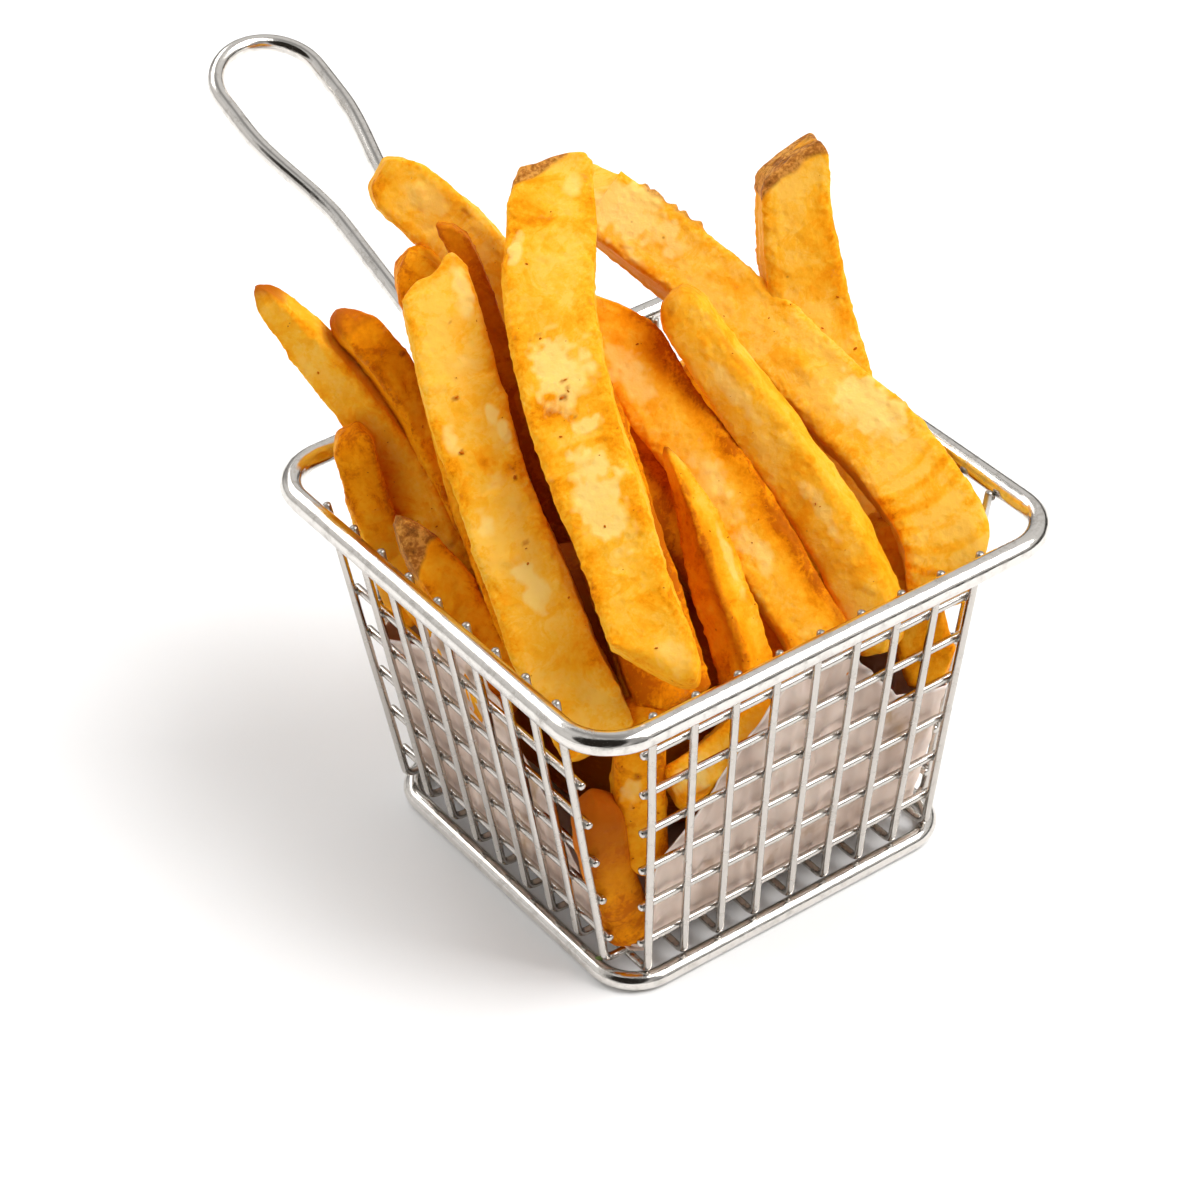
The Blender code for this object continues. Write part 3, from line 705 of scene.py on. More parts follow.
def friedPotato():
    # pale mealy faces mottled with gold, browner along edges and at tips, brown rough skin where it shows
    material, nodes, links, shader = newMaterial("fried_potato_crust")
    place = addNode(nodes, "ShaderNodeTexCoord").outputs["Object"]
    mottle = addNoise(nodes, links, place, Scale=95.0, Detail=5.0, Roughness=0.55, Distortion=0.5)
    cloud = addNoise(nodes, links, place, Scale=240.0, Detail=6.0, Roughness=0.62)
    grain = addNoise(nodes, links, place, Scale=1500.0, Detail=4.0, Roughness=0.6)
    patches = addNoise(nodes, links, place, Scale=170.0, Detail=7.0, Roughness=0.68, Distortion=0.8)
    pits = addNode(nodes, "ShaderNodeTexVoronoi", Scale=520.0, Randomness=1.0)
    specks = addNode(nodes, "ShaderNodeTexVoronoi", Scale=300.0, Randomness=1.0)
    for node in (pits, specks):
        links.new(place, node.inputs["Vector"])
    edge, tip, skin, cream, toast, tone = (attributeNode(nodes, key) for key in
                                           ("edge", "tip", "skin", "cream", "toast", "tone"))

    def scaled(value, factor, more, clamp=False):
        # the value times the factor, with more added
        return mathNode(nodes, links, "MULTIPLY_ADD", value, factor, more, clamp=clamp)

    # how golden: mottling, stains, browned edges, the chip's own tone with painted shade added to it, and its
    # toasted patches
    golden = scaled(mottle, 1.3, -0.37)
    stain = addRamp(nodes, links, patches, [(0.50, 0.0), (0.56, 1.0)])
    golden = scaled(stain, 0.20, golden)
    fringe = mathNode(nodes, links, "MULTIPLY", scaled(grain, 1.6, -0.2), edge)
    golden = mathNode(nodes, links, "ADD", scaled(fringe, 0.50, golden), tone)
    golden = scaled(toast, 0.45, golden)
    golden = mathNode(nodes, links, "ADD", golden, scaled(cloud, 0.7, -0.35))
    golden = mathNode(nodes, links, "ADD", golden, scaled(grain, 0.5, -0.25), clamp=True)
    crust = addRamp(nodes, links, golden, [
        (0.0, (0.96, 0.53, 0.075)), (0.30, (0.93, 0.435, 0.020)), (0.58, (0.89, 0.33, 0.004)),
        (0.82, (0.76, 0.235, 0.001)), (1.0, (0.56, 0.135, 0.001))])
    # pale mealy flesh where the crust is thin
    mealy = scaled(cloud, 1.1, scaled(grain, 0.4, -0.20))
    mealy = mathNode(nodes, links, "ADD", mealy, cream)
    flesh = addRamp(nodes, links, scaled(mealy, 1.5, -1.05, clamp=True), [(0.0, 0.0), (1.0, 0.85)])
    fleshTone = mixColour(nodes, links, mottle, (0.99, 0.73, 0.26), (0.97, 0.60, 0.13))
    colour = mixColour(nodes, links, flesh, crust, fleshTone)
    # the tips' and marks' dark brown, which on shadowed sides and tops is painted shade
    colour = mixColour(nodes, links, tip, colour, (0.42, 0.095, 0.003))
    bark = addRamp(nodes, links, scaled(cloud, 1.6, scaled(grain, 1.4, -0.7)), [
        (0.30, (0.10, 0.028, 0.004)), (0.75, (0.40, 0.14, 0.022)), (1.0, (0.66, 0.30, 0.06))])
    colour = mixColour(nodes, links, skin, colour, bark)
    # a few dark specks, most of them where the stains are
    speckShape = addRamp(nodes, links, specks.outputs["Distance"], [(0.03, 1.0), (0.09, 0.0)])
    pick = addNode(nodes, "ShaderNodeSeparateColor")
    links.new(specks.outputs["Color"], pick.inputs["Color"])
    some = mathNode(nodes, links, "GREATER_THAN", pick.outputs[0], scaled(patches, -0.9, 1.32))
    speck = mathNode(nodes, links, "MULTIPLY", speckShape, some)
    speck = mathNode(nodes, links, "MULTIPLY", speck, grain)
    colour = mixColour(nodes, links, speck, colour, (0.25, 0.06, 0.004))
    links.new(colour, shader.inputs["Base Color"])
    links.new(scaled(cloud, 0.40, 0.44), shader.inputs["Roughness"])
    shader.inputs["Subsurface Weight"].default_value = 0.40
    shader.inputs["Subsurface Radius"].default_value = (0.0030, 0.0012, 0.0002)
    shader.inputs["IOR"].default_value = 1.35
    shader.inputs["Specular IOR Level"].default_value = 0.22
    shader.inputs["Specular Tint"].default_value = (1.0, 0.62, 0.22, 1.0)
    pitShape = addRamp(nodes, links, pits.outputs["Distance"], [(0.0, 0.0), (0.45, 1.0)])
    height = scaled(cloud, 1.4, scaled(grain, 0.6, pitShape))
    addBump(nodes, links, shader, height, 0.55, 0.00024)
    return material


chipCrust = friedPotato()
viewWay = np.array([-0.43421, -0.65138, 0.62222])    # from the chips towards the camera

# line: places (x, y, height) and width from a chip's head to its foot. thick: thickness. turn: turn of
# the broad face about the length, in degrees. taper: how far the thickness follows the width. round: how
# round the section is, from 0 (square) to 1 (oval). end and footEnd: how far an end is rounded off, and the
# share of the section that stays flat. head and foot: how far up a cut lies at places across (-1 to 1).
# headBevel and footBevel: how far the front of a cut is set back from its rear. cutLength: how far a slant
# is felt along the chip. ragged: roughness of the cuts. loose: not pushed in by the paper. tone: pale (-)
# to brown (+). shade: painted shade, added to the tone from one place across to another, that darkens a side
# of the chip lying in shadow. tip and tipReach: how brown the head is, and how far; on one chip this paints
# the shade on its top. skin: how far skin reaches from the head at places across. rind: a strip of skin
# along one side, its start, end and side. ridges: the shares of the length between which the face is
# banded. A patch in cream, toast or dark marks (some of the dark marks are painted shade) is its share of
# the length, place across, half length in mm, half width (in half widths of the chip) and strength.
chipUsual = {
    "turn": 0, "taper": 0.0, "round": 0.36, "end": (0.8, 0.78), "cutLength": 9.0, "ragged": 0.35,
    "loose": False, "head": [(-1, -0.8), (0, 0.4), (1, -0.8)], "foot": [(-1, 0.8), (0, -0.4), (1, 0.8)],
    "headBevel": 0.6, "footBevel": 0.6, "shade": (0.0, 1.0, 0.0), "tip": 0.15, "tipReach": 2.6,
    "skin": [(-1, -9.0), (1, -9.0)], "rind": [], "marksAndShade": [], "cream": [], "toast": [],
}
chips = {
    "left_long": {
        "end": (3.4, 0.15), "round": 0.42,
        "line": [(-39.3, 53.1, 95.3, 4.2), (-35.6, 48.4, 87.7, 6.6), (-31.0, 41.7, 77.9, 8.2),
                 (-27.8, 35.0, 68.6, 9.2), (-25.9, 25.9, 56.8, 9.0), (-25.0, 18.0, 48.0, 8.6)],
        "thick": 7.2, "turn": 24, "taper": 0.9, "tone": 0.0, "tip": 1.0, "tipReach": 3.4,
        "head": [(-1, 0.0), (-0.5, 1.3), (0, 1.0), (0.6, 0.0), (1, -1.8)]},
    "left_back": {
        "end": (3.2, 0.15), "round": 0.5,
        "line": [(-29.4, 43.9, 90.1, 7.4), (-25.9, 39.0, 83.1, 7.5), (-23.3, 32.4, 73.1, 7.5),
                 (-22.5, 25.8, 63.4, 7.5), (-21.0, 17.0, 53.0, 7.4)],
        "thick": 8.0, "turn": -15, "tone": 0.34, "tip": 0.9, "tipReach": 3.0,
        "head": [(-1, 1.2), (-0.6, 2.4), (0, 2.6), (0.6, 1.7), (1, 0.0)],
        "marksAndShade": [(0.20, 0.62, 0.55, 0.16, 1.0), (0.05, 0.2, 0.7, 0.9, 0.5)]},
    "left_stub": {
        "end": (2.4, 0.3), "round": 0.45,
        "line": [(-34.7, 37.1, 74.2, 6.8), (-35.0, 33.3, 64.8, 7.2), (-34.7, 29.2, 54.8, 7.2),
                 (-34.0, 24.0, 42.0, 7.0)],
        "thick": 7.5, "tone": 0.28, "head": [(-1, -1.5), (-0.6, 0.6), (0.4, 1.4), (1, 0.6)]},
    "left_short": {
        "end": (2.6, 0.4), "round": 0.5,
        "line": [(-36.3, 19.1, 66.0, 6.4), (-34.5, 12.8, 59.4, 8.0), (-32.8, 4.6, 51.4, 8.3),
                 (-31.0, -4.0, 44.0, 8.0)],
        "thick": 8.0, "tone": 0.32, "skin": [(-1, 7.5), (0, 5.5), (0.6, 3.5), (1, 2.0)],
        "head": [(-1, -2.0), (-0.5, 1.2), (0, 2.0), (0.5, 1.0), (1, -1.5)], "ragged": 0.9},
    "front_big": {
        "line": [(-18.6, 34.3, 97.2, 12.1), (-20.5, 27.8, 91.8, 12.7), (-23.8, 18.1, 83.1, 13.3),
                 (-26.1, 8.5, 74.9, 12.9), (-27.9, -1.8, 66.1, 13.5), (-29.5, -11.9, 57.1, 13.8),
                 (-29.7, -19.3, 50.8, 13.8), (-29.9, -25.2, 45.6, 13.1)],
        "thick": 9.0, "ragged": 0.3, "tone": -0.19,
        "head": [(-1, -1.4), (-0.6, 0.2), (0.0, 1.4), (0.3, 2.4), (0.5, 3.8), (0.72, 3.8), (1, 0.6)],
        "cream": [(0.30, 0.50, 2.2, 0.17, 1.0), (0.345, 0.68, 2.6, 0.16, 1.0), (0.33, -0.62, 3.0, 0.22, 0.8),
                  (0.44, 0.2, 2.2, 0.5, 0.5), (0.06, 0.58, 4.5, 0.28, 0.9), (0.19, 0.3, 2.4, 0.5, 0.4),
                  (0.655, 0.07, 6.5, 0.32, 1.0), (0.50, -0.45, 3.0, 0.3, 0.7)],
        "toast": [(0.37, 0.15, 3.2, 0.33, 0.8), (0.42, 0.62, 2.8, 0.3, 0.8), (0.60, 0.6, 5.0, 0.28, 0.45),
                  (0.79, 0.4, 5.0, 0.5, 0.3)],
        "marksAndShade": [(0.355, -0.42, 0.5, 0.08, 0.8), (0.25, -0.22, 0.5, 0.07, 0.8), (0.44, 0.62, 0.4, 0.06, 0.8),
                  (0.57, 0.3, 0.4, 0.05, 0.7), (0.10, 0.1, 0.35, 0.05, 0.6)]},
    "middle_tall": {
        "line": [(3.7, 32.0, 110.7, 13.4), (-0.9, 26.1, 106.4, 15.1), (-8.2, 16.8, 99.0, 15.1),
                 (-13.4, 5.8, 91.0, 15.0), (-16.4, -2.9, 84.7, 14.4), (-18.5, -11.7, 78.2, 13.6),
                 (-21.3, -22.5, 69.6, 12.9), (-22.5, -28.9, 64.3, 13.2), (-23.3, -32.3, 61.4, 12.9)],
        "thick": 9.0, "footEnd": (3.6, 0.35), "tone": -0.04, "tip": 0.1,
        "head": [(-1, -4.6), (-0.8, -0.8), (-0.2, 1.0), (0.4, 2.4), (0.8, 2.6), (1, 0.0)],
        "foot": [(-1, 6.1), (-0.47, 2.7), (-0.1, -0.1), (0.28, -2.4), (0.75, -3.8), (1, -2.6)],
        "skin": [(-1, 4.0), (-0.6, 2.8), (-0.2, 1.6), (0.3, 0.4), (0.6, -0.8), (1, -3.0)],
        "cream": [(0.19, -0.68, 2.2, 0.15, 0.9), (0.16, -0.62, 1.6, 0.1, 0.6), (0.42, 0.05, 6.5, 0.7, 0.95),
                  (0.531, 0.32, 1.3, 0.32, 1.1), (0.66, 0.0, 8.5, 0.72, 1.0), (0.95, 0.3, 3.0, 0.5, 0.5),
                  (0.06, 0.45, 2.5, 0.3, 0.6)],
        "toast": [(0.124, -0.05, 1.0, 0.45, 0.5), (0.488, -0.38, 3.4, 0.52, 0.9),
                  (0.565, 0.1, 0.9, 0.85, 0.7), (0.87, 0.2, 2.4, 0.6, 0.45)],
        "marksAndShade": [(0.44, 0.05, 0.4, 0.06, 0.8), (0.455, 0.12, 0.35, 0.05, 0.8), (0.47, -0.05, 0.5, 0.08, 0.8),
                  (0.345, -0.3, 0.3, 0.05, 0.7), (0.35, -0.45, 0.3, 0.04, 0.7), (0.51, 0.1, 0.4, 0.05, 0.7)]},
    "upper_left": {
        "end": (2.6, 0.6),
        "line": [(-11.2, 57.9, 102.8, 10.6), (-6.9, 52.6, 97.5, 11.6), (-2.6, 45.1, 89.8, 11.9),
                 (-0.8, 36.8, 79.9, 11.9), (2.0, 12.0, 56.0, 11.5)],
        "thick": 9.5, "tone": -0.18,
        "head": [(-1, -1.6), (-0.8, 0.6), (-0.5, 1.9), (0.0, 2.6), (0.5, 2.7), (0.8, 1.5), (1, -0.4)],
        "cream": [(0.10, 0.3, 4.0, 0.5, 0.3)],
        "toast": [(0.0, -0.5, 2.5, 0.5, 0.6), (0.36, 0.0, 8.0, 1.2, 0.5)],
        "marksAndShade": [(0.19, 0.70, 1.5, 0.13, 0.9)]},
    "back_stub": {
        "end": (4.5, 0.12), "round": 0.45,
        "line": [(-15.2, 46.6, 95.0, 9.8), (-12.6, 43.9, 84.4, 9.6), (-8.0, 38.0, 66.0, 9.0)],
        "thick": 8.0, "tone": 0.25, "tip": 0.0,
        "head": [(-1, -2.6), (-0.6, 0.1), (0.1, 1.6), (0.7, 0.8), (1, -1.0)]},
    "skin_edge": {
        "line": [(-9.6, 42.2, 101.3, 4.0), (-9.7, 35.4, 93.0, 4.6), (-10.3, 29.4, 85.5, 4.8),
                 (-11.0, 20.0, 75.0, 6.4), (-12.0, 6.0, 60.0, 8.0)],
        "thick": 5.0, "turn": 5, "tone": 0.5, "tip": 0.45, "tipReach": 60.0,
        "head": [(-1, 1.6), (0.2, 0.0), (1, -3.0)]},
    "right_long": {
        "line": [(11.2, 42.5, 103.0, 11.2), (16.5, 33.9, 97.4, 12.1), (22.4, 23.4, 90.5, 12.5),
                 (28.5, 10.0, 81.6, 12.9), (32.0, -4.0, 74.8, 13.7), (34.2, -17.0, 69.0, 14.7),
                 (34.5, -30.0, 60.0, 15.0), (34.0, -33.0, 50.0, 14.5)],
        "thick": 9.0, "turn": 1, "tone": -0.22, "tip": 0.0, "rind": [(0.13, 0.25, 1.0)],
        "ridges": (0.77, 0.97), "headBevel": 11.0, "head": [(-1, -2.0), (0, 0.0), (1, -2.5)],
        "cream": [(0.04, 0.0, 6.0, 1.2, 1.2), (0.14, 0.1, 10.0, 0.9, 1.2), (0.66, 0.3, 8.0, 0.6, 1.0)],
        "toast": [(0.345, 0.35, 3.0, 0.4, 0.5), (0.50, -0.05, 5.5, 0.6, 0.5), (0.43, 0.5, 3.0, 0.35, 0.4)]},
    "right_upright": {
        "line": [(40.1, 16.9, 105.7, 12.0), (38.2, 12.6, 93.8, 13.1), (37.3, 9.0, 84.4, 13.8),
                 (37.7, 3.6, 73.2, 13.9), (38.0, -12.0, 38.0, 13.5)],
        "thick": 8.5, "tone": -0.10, "tip": 0.1, "ragged": 0.1,
        "skin": [(-1, 2.4), (0, 1.9), (0.6, 1.6), (0.9, 1.0), (1, 0.3)],
        "toast": [(0.26, 0.2, 5.0, 0.5, 0.4)],
        "head": [(-1, -3.6), (-0.9, -1.4), (-0.4, 0.5), (0.27, 2.7), (0.75, 4.1), (1, 2.0)]},
    "front_right": {
        "end": (2.4, 0.5), "round": 0.62,
        "line": [(10.4, 9.0, 96.1, 8.6), (12.3, 0.8, 87.4, 9.3), (15.2, -8.6, 77.8, 10.7),
                 (17.6, -17.3, 69.0, 11.0), (18.8, -25.5, 60.8, 10.7), (18.6, -32.0, 53.0, 10.0),
                 (17.0, -33.0, 47.0, 9.8)],
        "thick": 9.0, "turn": 18, "tone": -0.02, "tip": 0.30,
        "head": [(-1, -2.0), (-0.5, 0.6), (0, 1.3), (0.5, 0.8), (1, -1.6)],
        "cream": [(0.30, 0.1, 9.0, 0.35, 0.6), (0.62, 0.2, 8.0, 0.3, 0.6)],
        "marksAndShade": [(0.03, -0.25, 0.7, 0.2, 0.6), (0.17, 0.85, 9.0, 0.12, 0.35)]},
    "middle_right": {
        "line": [(3.6, 22.4, 94.4, 9.6), (4.3, 16.4, 89.0, 12.2), (4.7, 7.2, 80.9, 12.6),
                 (6.3, -3.0, 73.0, 12.8), (7.7, -13.9, 64.1, 12.6), (8.2, -23.5, 56.5, 11.2),
                 (8.0, -30.5, 50.5, 11.1), (6.0, -32.0, 45.0, 11.0)],
        "thick": 9.5, "turn": -6, "tone": -0.06, "round": 0.42, "headBevel": 1.5, "cutLength": 18.0,
        "head": [(-1, 2.0), (-0.4, 0.5), (0.3, -3.5), (1, -9.0)],
        "cream": [(0.22, -0.35, 6.0, 0.5, 0.7), (0.49, 0.0, 5.5, 0.45, 0.6), (0.66, -0.2, 6.0, 0.45, 0.7)],
        # painted shade: its right side, in the shadow of front_right, is darkened by the shade and the long
        # dark mark
        "toast": [(0.06, 0.0, 3.0, 1.2, 0.5)], "shade": (-0.10, 0.75, 0.50),
        "marksAndShade": [(0.80, 1.1, 18.0, 0.5, 0.5)]},
    "front_middle": {
        "end": (3.0, 0.2), "round": 0.38,
        "line": [(-2.1, -5.6, 80.2, 1.8), (-2.1, -13.2, 70.6, 5.8), (-3.1, -20.0, 61.3, 7.3),
                 (-4.1, -27.7, 51.4, 8.2), (-6.0, -31.0, 46.0, 8.2)],
        # painted shade: its left face, turned away from the key light, is darkened by the shade and the long
        # dark mark
        "thick": 7.0, "turn": -42, "taper": 0.9, "tone": 0.05, "shade": (0.15, -0.45, 0.25), "tip": 1.0,
        "head": [(-1, 1.0), (0, 0.6), (1, -2.0)], "cream": [(0.45, 0.3, 7.0, 0.3, 0.6)],
        "marksAndShade": [(0.16, -0.6, 1.8, 0.3, 0.5), (0.55, -0.95, 20.0, 0.35, 0.45)]},
    "corner_upright": {
        "line": [(-22.5, -25.5, 52.0, 8.8), (-23.8, -26.0, 43.0, 8.8), (-25.1, -27.2, 29.8, 8.7),
                 (-24.7, -29.0, 20.2, 6.6)],
        "thick": 8.0, "tone": 0.38, "round": 0.6, "end": (2.6, 0.4),
        "cream": [(0.45, -0.3, 3.0, 0.4, 0.6)], "marksAndShade": [(0.36, -0.1, 0.7, 0.15, 0.7)]},
    "corner_low": {
        "line": [(-33.0, -26.0, 38.0, 8.8), (-31.0, -26.6, 21.0, 9.4), (-28.6, -27.2, 10.0, 9.2),
                 (-28.4, -27.4, 5.4, 8.6)],
        # painted shade: the dark tip reaching 26 mm down darkens its top, which lies in shadow under the chip
        # above
        "thick": 7.6, "tone": 0.62, "tip": 1.0, "tipReach": 26.0, "round": 0.75, "end": (3.2, 0.2),
        "loose": True},
    "front_low": {
        "line": [(4.0, -32.5, 47.0, 8.0), (-6.0, -32.5, 42.5, 8.5), (-14.0, -32.0, 38.8, 8.5),
                 (-22.0, -31.0, 36.5, 8.0)],
        "thick": 8.5, "tone": -0.05, "cream": [(0.85, 0.0, 4.0, 0.7, 0.9)], "ragged": 0.9},
    "right_low": {
        "line": [(29.0, -20.0, 60.0, 9.0), (31.0, -26.0, 46.0, 10.0), (32.0, -32.0, 33.0, 10.0)],
        "thick": 9.0, "tone": 0.15},
    "right_back_low": {
        "line": [(12.0, 30.0, 65.0, 9.0), (22.0, 18.0, 54.0, 10.0), (31.0, 6.0, 42.0, 10.0)],
        "thick": 9.0, "tone": 0.1},
    "right_side_low": {
        "line": [(30.0, 34.0, 62.0, 9.0), (32.0, 23.0, 51.0, 9.0), (34.0, 12.0, 40.0, 9.0)],
        "thick": 9.0, "tone": 0.1},
    # painted shade: the brown tone of the under chips below darkens the deep gaps between the chips above
    "under_tall": {
        "line": [(-3.0, 28.0, 99.0, 11.0), (-11.5, 1.0, 76.5, 14.0), (-17.0, -26.0, 48.0, 13.0)],
        "thick": 12.0, "tone": 0.50},
    "under_right": {
        "line": [(20.0, 18.0, 74.5, 12.0), (22.0, 0.0, 62.0, 15.0), (22.5, -24.0, 40.0, 14.0)],
        "thick": 11.0, "tone": 0.50},
    "under_middle": {
        "line": [(-1.5, 16.0, 80.5, 10.0), (0.2, 4.0, 70.5, 11.5), (3.0, -12.0, 57.0, 12.0),
                 (4.0, -27.0, 44.0, 11.0)],
        "thick": 9.0, "tone": 0.55},
    "under_left": {
        "line": [(-20.0, 28.0, 76.0, 10.0), (-24.0, 10.0, 62.0, 12.0), (-26.0, -14.0, 42.0, 12.0)],
        "thick": 10.0, "tone": 0.25},
    "back_low": {
        "line": [(-16.0, 35.0, 62.0, 9.0), (2.0, 35.0, 54.0, 10.0), (20.0, 34.0, 46.0, 10.0)],
        "thick": 9.0, "tone": 0.1},
    "left_low": {
        "line": [(-32.0, 30.0, 54.0, 9.0), (-33.0, 14.0, 47.0, 9.0), (-34.0, -2.0, 40.0, 9.0)],
        "thick": 9.0, "tone": 0.2},
}
chipSurface = {
    "rowStep": 0.38,
    "around": 104,
    "hidden": ["corner_low", "front_low", "right_low", "right_back_low", "right_side_low", "under_tall",
               "under_right", "under_middle", "under_left", "back_low", "left_low"],
    "hiddenStep": 0.55,
    "hiddenAround": 72,
    "sink": 0.05,
    "twist": 6.0,
    "swell": 0.08,
    "toneShift": -0.05,
    # noise that moves the skin out and in: size, number added to the seed, amount, and amount more at corners
    "bulges": [(9.0, 0, 0.42, 0.0), (3.6, 50, 0.20, 0.0), (1.5, 60, 0.05, 0.07), (0.62, 65, 0.02, 0.12)],
    "ridgeStep": 3.2,
    "scallopStep": 2.6,
}
crumbGround = {}    # for each chip, what the crumbs need to know of its surface


def evenSection(count, rounding, aspect):
    # a superellipse from -1 to 1 each way: cosine and sine raised to the rounding, closer steps at corners
    angle = np.linspace(-math.pi / 2, 1.5 * math.pi, 4001)
    x = np.sign(np.cos(angle)) * np.abs(np.cos(angle)) ** rounding
    y = np.sign(np.sin(angle)) * np.abs(np.sin(angle)) ** rounding
    closer = 1 + 1.5 * smoothStep(0.35, 0.75, np.abs(x * y))[1:]
    travelled = np.concatenate([[0.0], np.cumsum(np.hypot(np.diff(x), np.diff(y) * aspect) * closer)])
    stops = travelled[-1] * np.arange(count) / count
    return np.interp(stops, travelled, x), np.interp(stops, travelled, y)


def keepInside(points):
    # points below the rim's top are moved in to the paper, and the lowest rest on its floor
    x, y, z = points[..., 0], points[..., 1], points[..., 2]
    rimTop = basket["rimHeight"] + basket["rimWire"] + 0.6
    floor = paperShape["floor"] + 1.2
    height = np.maximum(z, floor)
    half = wallInside(np.minimum(height, basket["rimHeight"])) - 1.1
    half = half - np.maximum(paperShape["turnHeight"] + 1.0 - height, 0.0) * 1.1
    corner = 5.1
    flat = half - corner
    over = np.stack([np.maximum(np.abs(x) - flat, 0), np.maximum(np.abs(y) - flat, 0)], -1)
    length = np.linalg.norm(over, axis=-1)
    over = over * (np.minimum(1.0, corner / np.maximum(length, 1e-6)))[..., None]
    moved = np.stack([np.copysign(np.minimum(np.abs(x), flat) + over[..., 0], x),
                      np.copysign(np.minimum(np.abs(y), flat) + over[..., 1], y), height], -1)
    share = smoothStep(rimTop - 2.0, rimTop + 2.0, z)[..., None]
    return moved * (1 - share) + points * share


def patchMask(patches, along, across, halfWide, length, seed):
    # soft-edged ovals at given places of a chip's broad face, their borders broken up by noise
    mask = np.zeros_like(along)
    flat = np.stack([along, across * halfWide, np.full_like(along, float(seed))], -1)
    border = noise(flat, 2.6, seed) * 0.35 + noise(flat, 1.0, seed + 1) * 0.3
    for share, place, halfLength, halfWidth, strength in patches:
        distance = np.hypot((along - share * length) / halfLength, (across - place) / halfWidth)
        mask = np.maximum(mask, strength * (1 - smoothStep(0.40, 1.15, distance + border)))
    return mask


def cutLine(outline, across):
    # the height of a cut at places across, eased between the outline's points
    knots, heights = np.array(outline, float).T
    fine = np.linspace(-1.3, 1.3, 261)
    padded = np.pad(np.interp(fine, knots, heights), 8, mode="edge")
    return np.interp(across, fine, np.convolve(padded, np.full(17, 1 / 17), "valid"))


def roundedEnd(end):
    # rings of a cap's flat middle, then a quarter circle out to the full section
    radius, capShare = end
    turns = np.linspace(0.0, math.pi / 2, 9)
    cap = np.array([0.15, 0.4, 0.65, 0.87]) * capShare
    places = np.concatenate([np.zeros(len(cap)), radius * (1 - np.cos(turns))])
    return places, np.concatenate([cap, capShare + (1 - capShare) * np.sin(turns)])


